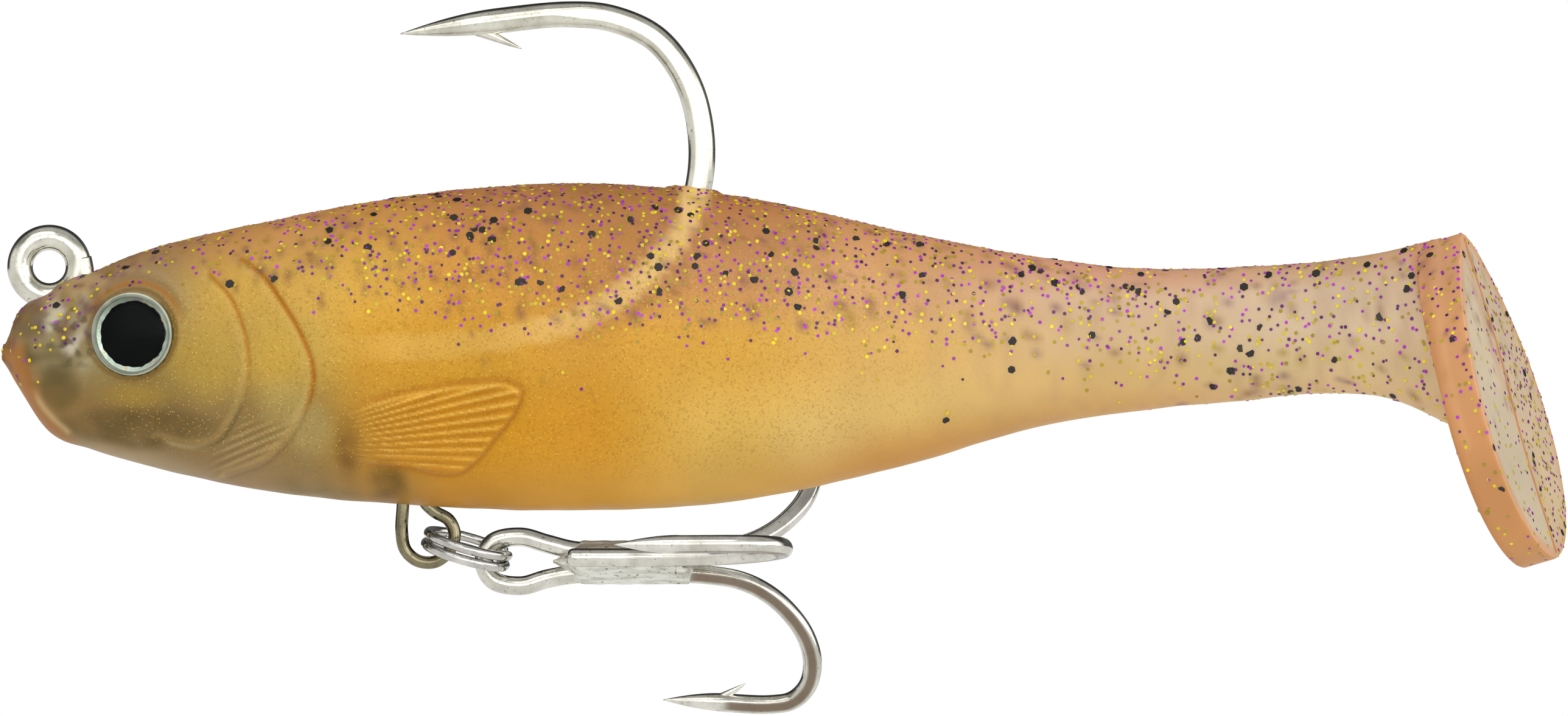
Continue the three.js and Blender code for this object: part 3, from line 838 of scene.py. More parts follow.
def relief_of(flank):
    """How far the skin stands out, in millimetres."""
    f = flank
    ends = smoothstep(f.x, 10.5, 14) * smoothstep(f.z, 0.6, -2.5)
    out = -0.09 * bump_at(f.front, 0.22) * ends
    out += 0.17 * np.exp(-f.front / 2.2) * (f.behind_front < 0) * ends
    out -= 0.1 * bump_at(f.rear, 0.22) * ends
    out += 0.24 * np.exp(-f.rear / 2.4) * (f.behind_rear < 0) * ends
    out += 0.05 * f.gill_stripes() * f.gill_rays()
    out += 0.14 * f.brow(4.75) + 0.12 * f.brow(5.2) - 0.14 * f.brow(BROW_RADII[0])
    out += 0.12 * bump_at(f.eye - 3.95, 0.3)
    plate = smoothstep(f.fin_edge, 0, 0.34) * f.in_fin
    rays = np.cos(f.ray * math.pi) ** 2
    out += f.fin_shown() * plate * (0.16 + 0.26 * rays)
    out -= 0.1 * f.fin_shown() * bump_at(f.fin_edge, 0.25) * ~f.in_fin
    out += 0.14 * f.fin_shown() * bump_at(f.fin_edge - 0.5, 0.26) * f.in_fin * f.fin_crest()
    return out


def cut_facet(points):
    """The flat cut under the snout."""
    (ax, az), (bx, bz) = FACET
    along = np.array((bx - ax, bz - az)) / math.hypot(bx - ax, bz - az)
    outward = np.array((along[1], -along[0]))
    over = (points[:, 0] - ax) * outward[0] + (points[:, 2] - az) * outward[1]
    over = np.where(points[:, 0] < 4, np.maximum(over, 0), 0)
    points[:, 0] -= over * outward[0]
    points[:, 2] -= over * outward[1]
    return points


def refine(mesh, wanted, cuts):
    """Divides the faces that are wanted, so that they can carry fine lines."""
    bm = bmesh.new()
    bm.from_mesh(mesh)
    bm.faces.ensure_lookup_table()
    edges = {edge for face, chosen in zip(bm.faces, wanted) if chosen for edge in face.edges}
    bmesh.ops.subdivide_edges(bm, edges=list(edges), cuts=cuts, use_grid_fill=True)
    bm.to_mesh(mesh)
    bm.free()


def refine_lines(skin):
    """A finer mesh under the gill covers' edges and rays, and a still finer one under the fin."""
    flank = Flank(face_centres(skin.data))
    fin = (flank.fin_edge < 0.5) | flank.in_fin
    rays = (flank.x > 12.5) & (flank.x < 22.2) & (flank.z < -11.8)
    near = (np.minimum(flank.front, flank.rear) < 0.8) | rays | (flank.eye < 5.9)
    refine(skin.data, near & ~fin, 1)
    flank = Flank(face_centres(skin.data))
    refine(skin.data, (flank.fin_edge < 0.4) | flank.in_fin, 2)
    skin.data.shade_smooth()
    skin.data.set_sharp_from_angle(angle=SHARP_ANGLE)


HOOK_EXIT = (53.0, 0, 6.3)
TIE_ENTRY = (1.9, 0, -1.9)


def shape_skin(skin):
    """Adds the reliefs, the lips round the wire, a slight unevenness and the eyes' seats."""
    points, normals = points_of(skin), normals_of(skin)
    flank = Flank(points)
    paddle = on_paddle(points)
    points = cut_facet(points)
    sideways = smoothstep(np.abs(normals[:, 1]), 0.12, 0.5)
    out = relief_of(flank) * sideways * (flank.x < 42)
    out += 0.4 * bump_at(np.linalg.norm(points - HOOK_EXIT, axis=1) - 1.35, 0.5)
    out += 0.22 * bump_at(np.linalg.norm(points - TIE_ENTRY, axis=1) - 1.3, 0.45)
    waves = np.array([noise.noise(Vector(p) * 0.35) for p in points])
    out += 0.06 * waves * (flank.x > 1)
    out[paddle] = 0.03 * waves[paddle]
    points = points + normals * out[:, None]
    radius, height = eye_distance(points)
    for side in (LEFT, RIGHT):
        _, axis = eye_basis(side)
        socket = (radius < EYE_RADIUS + 0.05) & (np.sign(points[:, 1]) == side) & (height > -0.05)
        points[socket] -= (height[socket] + 0.05)[:, None] * axis
    set_points(skin, points)


# ---- tints ----

# X of each column of the chart, then its colours from the belly up to the back.
CHART = [
    (-3, (176, 122, 74), (168, 122, 76), (146, 124, 84), (140, 118, 80), (146, 112, 78)),
    (2, (158, 122, 78), (140, 112, 64), (146, 132, 92), (158, 144, 108), (142, 112, 76)),
    (8, (158, 134, 98), (124, 102, 60), (158, 132, 68), (164, 142, 94), (148, 114, 74)),
    (15, (154, 126, 88), (140, 116, 70), (172, 142, 70), (200, 160, 72), (178, 128, 72)),
    (21, (152, 124, 80), (154, 128, 72), (196, 162, 76), (210, 166, 76), (184, 130, 78)),
    (27, (164, 122, 58), (190, 140, 48), (208, 154, 50), (212, 164, 70), (190, 134, 68)),
    (34, (198, 138, 48), (206, 147, 30), (209, 155, 48), (206, 146, 66), (182, 122, 70)),
    (44, (212, 154, 60), (208, 148, 40), (210, 154, 58), (196, 138, 72), (166, 112, 66)),
    (55, (222, 174, 88), (224, 182, 90), (218, 166, 68), (196, 140, 90), (176, 116, 66)),
    (68, (204, 148, 76), (224, 186, 110), (220, 176, 98), (212, 162, 112), (198, 142, 92)),
    (86, (208, 162, 102), (216, 180, 118), (217, 184, 138), (212, 178, 144), (200, 144, 116)),
    (104, (220, 186, 138), (214, 188, 140), (216, 192, 158), (210, 184, 154), (188, 150, 114)),
    (118, (218, 184, 138), (214, 188, 148), (216, 192, 160), (212, 184, 152), (196, 154, 118)),
]

SHANK_LINE = [(22, -6.6), (33, -6.5), (38.1, -5.7), (43.8, -4.2), (49.1, -0.7), (52.4, 3.7), (53.3, 7)]
GLITTER_FLOOR = [
    (-4, -9), (1, -8.5), (4, -5), (9, 0.5), (15, -0.6), (25, -2.4), (35, -4.2), (50, -4.6), (62, -5.2),
    (72, -6.2), (82, -7.4), (92, -9.5), (104, -13),
]
GLITTER_SHARE = [
    (-4, 0.5), (6, 0.4), (14, 0.4), (24, 0.75), (34, 1), (52, 1.15), (70, 1), (90, 0.8), (112, 0.55),
]
SMUDGES = 1100
SMUDGE_TONES = [(104, 66, 48), (92, 60, 84), (140, 112, 30)]
SMUDGE_ODDS = [0.45, 0.35, 0.2]


def chart_colour(x, rise):
    """The chart's sRGB colour at a place, smoothly between its columns and rows."""
    columns = np.array([row[1:] for row in CHART], float)
    at = np.interp(x, [row[0] for row in CHART], range(len(CHART)))
    up = np.clip(rise, 0, 1) * (columns.shape[1] - 1)
    i, j = np.minimum(at.astype(int), len(CHART) - 2), np.minimum(up.astype(int), columns.shape[1] - 2)
    u = smoothstep(at - i, 0, 1)[:, None]
    v = smoothstep(up - j, 0, 1)[:, None]
    low = columns[i, j] * (1 - u) + columns[i + 1, j] * u
    high = columns[i, j + 1] * (1 - u) + columns[i + 1, j + 1] * u
    return low * (1 - v) + high * v


def lay(colours, share, colour):
    """Lays a share of one colour over colours."""
    share = np.clip(share, 0, 1)[:, None]
    colours[:] = colours * (1 - share) + np.array(colour, float) * share


def blotch(points, centre, size, softness=0.5):
    """A soft blotch on the flanks, round centre, as X and Z."""
    d = np.hypot((points[:, 0] - centre[0]) / size[0], (points[:, 2] - centre[1]) / size[1])
    return smoothstep(d, 1, softness)


def cloud(points, scale, offset=0.0):
    """Smooth noise from about 0 to 1."""
    shift = Vector((offset, offset * 2, -offset))
    return np.array([0.5 + 0.7 * noise.noise(Vector(p) * scale + shift) for p in points])


LEAD_EDGE = [(-1.5, -6.7), (-1.1, -9), (-0.6, -11), (0.4, -12.3), (1.7, -13.5)]

# Strength, centre, size, softness, texture and colour of each blotch in the head. Most are the lead
# showing through; the last of HIGH_BLOTCHES is a painted shadow of the line tie.
LOW_BLOTCHES = [
    (0.55, (0.4, -8.2), (2.4, 2.2), 0.5, "streaky", (78, 66, 34)),
    (0.7, (7, -13.4), (9, 2.2), 0.5, "rough", (98, 80, 42)),
    (0.5, (1.2, -10), (2.2, 2.4), 0.5, "rough", (92, 76, 40)),
    (0.3, (11, -16.4), (8, 3), 0.2, "even", (122, 98, 56)),
]
HIGH_BLOTCHES = [
    (0.45, (3.2, -1.6), (2.4, 1.6), 0.5, "even", (188, 160, 112)),
    (0.55, (7.5, -10.6), (4.6, 1.6), 0.1, "even", (182, 148, 58)),
    (0.6, (13.4, -8), (4.6, 4.6), 0.2, "even", (190, 158, 68)),
    (0.5, (19, -7.6), (3.4, 4.2), 0.2, "even", (206, 164, 64)),
    (0.45, (19.6, -11.3), (3, 3), 0.3, "even", (188, 166, 98)),
    (0.5, (21.8, -13.4), (2.6, 3.2), 0.3, "even", (186, 166, 104)),
    (0.6, (24.8, -14.8), (1.5, 3.6), 0.2, "rough", (116, 82, 34)),
    (0.6, (22, -18.4), (5.5, 2.2), 0.3, "mottled", (118, 100, 58)),
    (0.75, (28.0, -17.8), (2.2, 2.6), 0.2, "dense", (104, 78, 26)),
    # Painted shadow: the line tie's shade on the top of the snout.
    (0.5, (-1.5, -4.2), (1.8, 2.4), 0.5, "even", (92, 74, 50)),
]


def paint_head(colours, points, flank):
    """The lead that shows through the head, its highlights and its shadows, and a painted shadow of the
    line tie on the snout.
    """
    mottle = cloud(points, 0.55)
    streaky = cloud(points * np.array((1.0, 1.0, 2.4)), 0.5, 5)
    textures = {
        "even": 1, "mottled": mottle, "rough": 0.4 + mottle, "dense": 0.3 + mottle, "streaky": streaky,
    }

    def lay_blotches(rows):
        for strength, centre, size, softness, texture, colour in rows:
            lay(colours, strength * blotch(points, centre, size, softness) * textures[texture], colour)

    snout = blotch(points, (2.0, -5.2), (3.6, 4.6), 0.3)
    lay(colours, 0.85 * snout * smoothstep(mottle, 0.38, 0.7), (204, 196, 172))
    lay(colours, 0.65 * snout * smoothstep(cloud(points, 1.3, 3), 0.58, 0.78), (84, 74, 58))
    lay_blotches(LOW_BLOTCHES)
    chin = smoothstep(flank.rise, 0.1, 0.02) * smoothstep(flank.x, 16, 8)
    lay(colours, 0.6 * chin, (176, 156, 122))
    lay_blotches(HIGH_BLOTCHES)
    lip, ahead = line_distance(flank.x, flank.z, smoothed(LEAD_EDGE))
    low_front = smoothstep(flank.x, 4, 0) * smoothstep(flank.z, -5.5, -7)
    lay(colours, 0.9 * smoothstep(lip * -ahead, -0.3, 0.5) * low_front, (164, 110, 56))
    lay(colours, 0.6 * bump_at(lip, 0.45) * smoothstep(flank.z, -10.4, -8.8) * streaky, (70, 62, 30))
    lay(colours, 0.6 * bump_at(lip, 0.3) * smoothstep(flank.z, -9.8, -11.2), (208, 182, 134))


def paint_details(colours, points, flank):
    """Amber in the grooves, pale rays, the pale band over the buried shank, painted highlight and shade on
    the fin's rays, and a painted highlight low on the flank.
    """
    f = flank
    amber, pale = (172, 104, 22), (214, 182, 112)
    lay(colours, 0.6 * bump_at(f.front, 0.18) * smoothstep(f.z, -11, -6), amber)
    under_eye = smoothstep(f.z, -10, -14) * smoothstep(f.x, 9.2, 13)
    lay(colours, 0.7 * bump_at(f.front, 0.17) * under_eye, (112, 94, 52))
    lay(colours, 0.85 * bump_at(f.rear, 0.22) * smoothstep(f.z, -13.5, -9), amber)
    lay(colours, 0.25 * bump_at(f.rear - 0.5, 0.3) * (f.behind_rear < 0), pale)
    lay(colours, 0.25 * bump_at(f.front - 0.45, 0.3) * (f.behind_front < 0), pale)
    jaw = bump_at(f.front, 0.2) * smoothstep(f.z, -13.4, -14.2) * smoothstep(f.x, 15, 11.5)
    lay(colours, 0.5 * jaw * smoothstep(f.x, 9.2, 10.5), (196, 176, 128))
    rays = np.maximum(f.gill_stripes(), 0) ** 2 * f.gill_rays()
    lay(colours, 0.5 * rays, (206, 184, 128))
    dark_rays = np.maximum(-f.gill_stripes(), 0) ** 3 * f.gill_rays()
    lay(colours, 0.35 * dark_rays, (112, 92, 50))
    lay(colours, 0.4 * f.brow(4.75), (126, 104, 72))
    lay(colours, 0.65 * f.brow(BROW_RADII[0]), (170, 104, 40))
    lay(colours, 0.3 * f.brow(BROW_RADII[1]), (160, 136, 108))
    lay(colours, 0.6 * bump_at(f.eye - 3.7, 0.22), (112, 86, 44))
    fin = smoothstep(f.fin_edge, 0, 0.6) * f.in_fin
    lay(colours, 0.6 * fin * smoothstep(f.x, 25, 30), (208, 142, 24))
    shown = fin * smoothstep(f.x, 24.5, 28)
    # Painted light on the fin's rays, as if lit from above: a pale painted highlight along the upper side
    # of each ray, and a darker painted shade along its lower side.
    fin_ray_highlight = np.abs(np.cos(f.ray * math.pi - 0.2)) ** 8
    lay(colours, 0.75 * fin_ray_highlight * shown, (236, 192, 100))
    lay(colours, 0.4 * np.abs(np.cos(f.ray * math.pi + 0.8)) ** 6 * shown, (184, 118, 18))
    lay(colours, 0.55 * f.fin_shown() * bump_at(f.fin_edge, 0.22), (184, 116, 24))
    crest = f.in_fin * f.fin_crest() * f.fin_shown()
    lay(colours, 0.45 * bump_at(f.fin_edge - 0.45, 0.2) * crest, (236, 190, 96))
    shank, _ = line_distance(f.x, f.z, smoothed(SHANK_LINE))
    strength = 0.3 + 0.55 * smoothstep(f.x, 32, 50)
    faded = smoothstep(f.x, 21, 30) * (f.x < 56)
    lay(colours, strength * faded * smoothstep(shank, 1.25, 0.75), (230, 192, 124))
    lay(colours, 0.5 * faded * bump_at(shank - 1.5, 0.4) * smoothstep(f.x, 40, 48), (168, 116, 76))
    # A painted highlight: a pale pearly sheen low on the rear flank.
    lay(colours, 0.3 * blotch(points, (62.5, -14.5), (6, 4), 0.1), (238, 208, 140))


def paddle_colours(points):
    """An orange rim round a pale, clear rear face, with a painted highlight down the rim."""
    across, up, depth = in_paddle(points)
    half = PADDLE_THICKNESS / 2
    low = smoothstep(up, 2, -9)
    colours = np.tile((204.0, 148.0, 100.0), (len(points), 1))
    lay(colours, 0.35 * low, (204, 142, 80))
    lay(colours, 0.5 * smoothstep(up, 6, 12), (190, 140, 108))
    lay(colours, 0.4 * bump_at(depth + half - 0.15, 0.3), (176, 116, 70))
    # A painted highlight: a pale stripe down the upper rim, a little behind its front edge.
    lay(colours, 0.3 * bump_at(depth + half - 1.1, 0.25) * (up > -4), (222, 172, 126))
    rear = depth > half - 0.03
    edge = egg_edge_distance(across, up)
    pale = np.where(across < 0, 1.0, 0.8) * smoothstep(edge, 0.35, 1.4)
    face = np.tile((222.0, 170.0, 130.0), (len(points), 1))
    lay(face, pale, (214, 196, 166))
    lay(face, 0.4 * low * (across > 0), (216, 186, 142))
    lay(face, 0.4 * bump_at(across + 1.1, 0.9) * smoothstep(up, -6, 4), (206, 152, 120))
    colours[rear] = face[rear]
    return colours


def egg_edge_distance(across, up):
    """About how far inside the paddle's outline a point of its face lies."""
    side, height = paddle_outline(0, 180)
    outline = list(zip(side, height))
    return line_distance(across, up, outline + outline[:1])[0]


def glitter_density(points):
    """How thick the glitter lies: dense along the back, then all over towards the tail."""
    x, z = points[:, 0], points[:, 2]
    floor = np.interp(x, [p[0] for p in GLITTER_FLOOR], [p[1] for p in GLITTER_FLOOR])
    dense = smoothstep(z - floor, -2.2, 2.6)
    stray = 0.05 * smoothstep(z - floor, -7, -1) * smoothstep(x, 22, 40)
    lengthwise = np.interp(x, [p[0] for p in GLITTER_SHARE], [p[1] for p in GLITTER_SHARE])
    return (dense + stray) * lengthwise


def paint_smudges(colours, points, normals):
    """Flakes that lie deeper, out of focus through the plastic."""
    rng = np.random.default_rng(SEED)
    weight = glitter_density(points) * (np.abs(normals[:, 1]) > 0.2)
    weight = weight * (1 - 0.5 * smoothstep(points[:, 0], 70, 95))
    picked = rng.choice(len(points), SMUDGES, replace=False, p=weight / weight.sum())
    tree = kdtree.KDTree(len(points))
    for i, p in enumerate(points):
        tree.insert(p, i)
    tree.balance()
    for i in picked:
        size = rng.uniform(0.2, 0.42)
        strength = rng.uniform(0.14, 0.42)
        stretch = np.array((1, 1, 1 / rng.uniform(1, 2.2)))
        tone = np.array(SMUDGE_TONES[rng.choice(3, p=SMUDGE_ODDS)], float)
        for _, j, _ in tree.find_range(points[i], size * 3.2):
            away = np.linalg.norm((points[j] - points[i]) * stretch) / size
            share = strength * math.exp(-(away ** 2))
            colours[j] = colours[j] * (1 - share) + tone * share


def paint_skin(skin):
    points, normals = points_of(skin), normals_of(skin)
    flank = Flank(points)
    colours = chart_colour(flank.x, flank.rise)
    paint_head(colours, points, flank)
    paint_details(colours, points, flank)
    streaks = cloud(points * np.array((1, 1, 0.16)), 1.1, 9)
    lay(colours, 0.28 * smoothstep(flank.x, 60, 92) * smoothstep(streaks, 0.5, 0.95), (176, 140, 112))
    share = paddle_share(points)
    paddle = share > 0
    share = share[paddle][:, None]
    colours[paddle] = colours[paddle] * (1 - share) + paddle_colours(points[paddle]) * share
    paint_smudges(colours, points, normals)
    set_colours(skin, "tint", linear(colours))
    pearl = smoothstep(flank.x, 0, 8) * smoothstep(flank.x, 84, 60) * smoothstep(flank.rise, 0.02, 0.2)
    set_numbers(skin, "pearl", pearl * smoothstep(flank.rise, 0.98, 0.7) * ~paddle)


def build_skin():
    skin = body_mesh()
    join_paddle(skin, paddle_mesh())
    refine_lines(skin)
    shape_skin(skin)
    paint_skin(skin)
    keep_rest_places(skin)
    dress(skin, skin_material())
    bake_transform(skin)
    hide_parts("back_layer", "belly_layer", "tail_back_layer", "tail_belly_layer")
    skin.visible_glossy = False
    return skin


# ---- glitter ----


def flake_faces(first):
    """A six-sided plate's faces: top, bottom and edges."""
    top = tuple(first + k for k in range(6))
    bottom = tuple(first + 6 + k for k in range(5, -1, -1))
    edges = [(first + k, first + 6 + k, first + 6 + (k + 1) % 6, first + (k + 1) % 6) for k in range(6)]
    return [top, bottom, *edges]


def scatter(name, skin_faces, count, size, spread, tones, material, seed):
    """Plates scattered over the skin by its density. tones is the range of each one's painted glint, how
    bright it is.
    """
    rng = np.random.default_rng(seed)
    mesh, normals, weights = skin_faces
    picked = rng.choice(len(weights), count, replace=False, p=weights / weights.sum())
    points, faces, tone = [], [], []
    thickness = 0.03
    for i in picked:
        normal = normals[i] + rng.normal(0, 0.1, 3)
        normal /= np.linalg.norm(normal)
        one = np.cross(normal, (0.3, 0.1, 1.0))
        one /= np.linalg.norm(one)
        other = np.cross(normal, one)
        centre = within_face(mesh, i, rng)
        spin = rng.uniform(0, math.pi / 3)
        radius = size / 2 * rng.uniform(1 - spread, 1 + spread)
        lift = rng.uniform(0.0, 0.02)
        faces += flake_faces(len(points))
        for side in (lift + thickness / 2, lift - thickness / 2):
            for k in range(6):
                a = spin + k * math.pi / 3
                points.append(centre + normal * side + radius * (math.cos(a) * one + math.sin(a) * other))
        tone += [rng.uniform(*tones) ** 1.6] * 12
    flakes = mesh_object(name, points, faces)
    flakes.data.shade_flat()
    set_numbers(flakes, "tone", tone)
    keep_rest_places(flakes)
    dress(flakes, material)
    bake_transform(flakes)
    return flakes


def paddle_density(points):
    """The glitter shows best on the paddle's clear rear face, and thins out down its rim."""
    across, up, depth = in_paddle(points)
    rear = depth > PADDLE_THICKNESS / 2 - 0.1
    return np.where(rear, 0.25 + 0.5 * smoothstep(across, -1, 2), 0.15 + 0.6 * smoothstep(up, -7, 8))


def within_face(mesh, face, rng):
    """A random place on a face."""
    corners = np.array([mesh.vertices[i].co for i in mesh.polygons[face].vertices]) / MM
    return rng.dirichlet(np.ones(len(corners))) @ corners


def skin_faces_of(skin):
    """The skin's mesh, its faces' normals, and how likely a flake is to lie on each face."""
    mesh = skin.data
    centres = face_centres(mesh)
    area = read(mesh.polygons, "area", 1)[:, 0]
    weights = area * glitter_density(centres)
    eye, _ = eye_distance(centres)
    weights[eye < EYE_RADIUS + 0.3] = 0
    paddle = on_paddle(centres)
    weights[paddle] = area[paddle] * paddle_density(centres[paddle])
    return mesh, read(mesh.polygons, "normal"), weights


def build_glitter(skin):
    faces = skin_faces_of(skin)
    # Dull and bright colours of each kind of flake: its look when shaded, and its painted glint.
    gold = flake_material("gold_flake", (136, 112, 8), (242, 218, 4), 0.34, 0.1, 0.06, 0.25)
    purple = flake_material("purple_flake", (62, 14, 60), (196, 40, 214), 0.34, 0.1, 0.05, 0.25)
    black = flake_material("black_flake", (16, 12, 9), (54, 40, 28), 0.55, 0.0, 0.0, 0.0)
    scatter("gold_glitter", faces, 3000, 0.32, 0.16, (0.25, 1), gold, SEED + 1)
    scatter("purple_glitter", faces, 3200, 0.29, 0.16, (0.05, 1), purple, SEED + 2)
    scatter("black_glitter", faces, 230, 0.7, 0.14, (0, 0.9), black, SEED + 3)


def build_parting_line():
    """The thin flash down the middle of the paddle's rear face."""
    centre, across, up, rear = paddle_basis()
    half = PADDLE_THICKNESS / 2
    heights = np.linspace(PADDLE_HEIGHT / 2 - 0.5, -PADDLE_HEIGHT / 2 + 0.5, 60)
    sway = 0.35 * np.sin(heights * 0.35)
    path = centre + np.outer(sway, across) + np.outer(heights, up) + (half + 0.02) * rear
    line = joined("paddle_parting_line", [sweep(path, 0.1, 0.1, side=across, sides=10)])
    s = Shader("parting_line", Roughness=0.4)
    wave = s.noise(s.object_place(), 0.8, 2)
    s.set("Base Color", s.mix(wave, rgba((212, 150, 96)), rgba((188, 120, 70))))
    dress(line, s.material)
    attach(line, "tail")


# ---- eyes ----


def build_eye(side, materials):
    name = "left" if side == LEFT else "right"
    origin, axis = eye_basis(side)
    r = EYE_RADIUS
    foil = [(0, 0.1), (2.4, 0.1), (r - 0.15, 0.1), (r - 0.08, 0.3), (r - 0.1, 0.62), (r - 0.35, 0.52),
            (2.75, 0.46), (2.45, 0.44), (0, 0.42)]
    pupil = [(0, 0.45), (2.4, 0.45), (2.64, 0.5), (2.68, 0.58), (2.62, 0.68), (2.3, 0.76), (1.2, 0.8),
             (0, 0.81)]
    dome = [(0, 0.88), (2.5, 0.86), (2.76, 0.74), (2.82, 0.6), (3.2, 0.66), (r - 0.02, 0.72)]
    for i in range(1, 15):
        a = math.pi / 2 * i / 15
        dome.append((r * math.cos(a) ** 0.9, 0.86 + 1.35 * math.sin(a)))
    dome.append((0, 2.21))
    rim = []
    for i in range(17):
        a = 2 * math.pi * i / 16
        rim.append((r - 0.08 + 0.17 * math.cos(a), 0.72 + 0.24 * math.sin(a)))
    pieces = {}
    for part, profile in (("foil", foil), ("pupil", pupil), ("dome", dome)):
        obj = joined(f"{name}_eye_{part}_visual", [lathe(profile, origin, axis, 80)])
        dress(obj, materials[part])
        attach(obj, "root")
        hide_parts(f"{name}_eye_{part}")
        pieces[part] = obj
    ragged_pupil(pieces["pupil"], origin, axis)
    build_rim(name, rim, origin, axis, materials["rim"])


def ragged_pupil(pupil, origin, axis):
    """The printed pupil's edge is slightly uneven."""
    points = points_of(pupil)
    d = points - origin
    h = d @ axis
    flat = d - h[:, None] * axis
    radius = np.linalg.norm(flat, axis=1)
    angle = np.arctan2(flat[:, 2], flat[:, 0])
    wobble = 1 + 0.012 * np.sin(9 * angle + 1) + 0.01 * np.sin(23 * angle)
    wobble = np.where(radius > 2.1, wobble, 1)
    set_points(pupil, origin + h[:, None] * axis + flat * wobble[:, None])


def build_rim(name, profile, origin, axis, material):
    """The bright edge where the clear dome meets the plastic."""
    sides = 96
    up = np.array((0.0, 0.0, 1.0))
    other = np.cross(up, axis)
    turn = np.linspace(0, 2 * math.pi, sides, endpoint=False)
    rings = []
    for r, h in profile[:-1]:
        rings.append([origin + axis * h + r * (math.cos(a) * other + math.sin(a) * up) for a in turn])
    points = np.vstack(rings)
    total = len(points)
    faces = [tuple(i % total for i in face) for face in grid_faces(len(rings) + 1, sides)]
    obj = joined(f"{name}_eye_rim", [(points, faces)])
    face_outwards(obj)
    dress(obj, material)
    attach(obj, "root")


# ---- hooks, ring and hanger ----

SHANK_Z = -6.5
BEND_X = 53.6
GAPE = 26.3


def jig_path():
    points = [(1.73, -1.73), (2.7, -3.4), (4.6, SHANK_Z + 1), (8, SHANK_Z + 0.1), (16, SHANK_Z)]
    bend = [
        (25, 0.004), (15.5, 0.03), (9.8, 0.086), (4.5, 0.22), (1.2, 0.39), (0, 0.585), (0.9, 0.8),
        (3.6, 0.953), (7.2, 1.02), (11, 1.035), (17.2, 1.013), (24.75, 0.974),
    ]
    points += [(BEND_X - ahead, SHANK_Z + GAPE * share) for ahead, share in bend]
    return through([(x, 0, z) for x, z in points], 0.3)


def pointed(path, wire, ground, blunt=0.06):
    """The radius along a wire that is ground to a point over its last stretch."""
    left = lengths_along(path)[-1] - lengths_along(path)
    share = np.clip(left / ground, 0, 1)
    return wire / 2 * np.maximum(np.sin(share * math.pi / 2) ** 0.85, blunt)


def barb(base, tip, width, side=(0, 1, 0)):
    """A sliver cut from the wire, thick at its root and sharp at its tip."""
    base, tip = np.array(base, float), np.array(tip, float)
    share = np.linspace(0, 1, 14)[:, None]
    path = base * (1 - share) + tip * share
    taper = (1 - share[:, 0]) ** 0.8 * width + 0.03
    return sweep(path, taper, taper * 0.8, side=side, sides=14)


def flat_marks(pressed, sides):
    """For each point of a swept wire, how much it lies on a forged flat."""
    turn = np.linspace(0, 2 * math.pi, sides, endpoint=False)
    return np.outer(pressed, smoothstep(np.abs(np.sin(turn)), 0.84, 0.92)).ravel()


def mark_flats(obj, marks):
    """marks are for the first of the object's parts; the others have none."""
    full = np.zeros(len(obj.data.vertices))
    full[: len(marks)] = marks
    set_numbers(obj, "flat", full)


def forged(path, start, end, ease=4.0):
    """How much of each point is forged flat, between two lengths along the path."""
    along = lengths_along(path)
    return smoothstep(along, start, start + ease) * smoothstep(along, end, end - ease)


def build_jig_hook(material):
    path = jig_path()
    radius = pointed(path, JIG_WIRE, 8.5)
    pressed = forged(path, 48, lengths_along(path)[-1] - 12)
    hook = sweep(path, radius * (1 + 0.05 * pressed), radius, flat=1 - 0.12 * pressed, sides=40)
    tie = ring_sweep((0, 0, 0), LINE_TIE_RADIUS, JIG_WIRE / 2, 30, 84)
    cut_path = through([(2.62, 0, 0.7), (2.78, 0, -0.1), (2.85, 0, -0.75)], 0.12)
    cut_end = sweep(cut_path, 0.86, 0.98, sides=26)
    end = (BEND_X - 17.2, SHANK_Z + GAPE * 1.013)
    cut = barb((end[0] - 2.2, 0, end[1] - 0.25), (end[0] + 2.4, 0, end[1] - 2.25), 0.62)
    obj = joined("jig_hook_visual", [hook, tie, cut_end, cut])
    mark_flats(obj, flat_marks(pressed, 40))
    face_outwards(obj)
    dress(obj, material)
    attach(obj, "root")
    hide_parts("jig_hook")


HANGER = (31.15, -22.143)


def build_hanger(material):
    offsets = [
        (-5.4, 7.6), (-2.6, 6.9), (-2.1, 5.3), (-2.1, 2.6), (-2.2, 0.4), (-1.9, -1.1), (-0.9, -2),
        (0.5, -2.1),
        (1.6, -1.3), (2.15, 0), (1.7, 1.3), (0.4, 2.1), (-0.4, 3), (-0.45, 4.4), (-0.5, 5.9),
    ]
    path = through([(HANGER[0] + x, 0, HANGER[1] + z) for x, z in offsets], 0.14)
    obj = joined("belly_hanger_visual", [sweep(path, HANGER_WIRE / 2, HANGER_WIRE / 2, sides=24)])
    face_outwards(obj)
    dress(obj, material)
    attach(obj, "root")
    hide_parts("belly_hanger")


RING_SLOPE = math.radians(16)
RING_ROLL = math.radians(7)
RING_CENTRE = np.array((34.294, 0, -23.174))
RING_RADIUS = 3.375


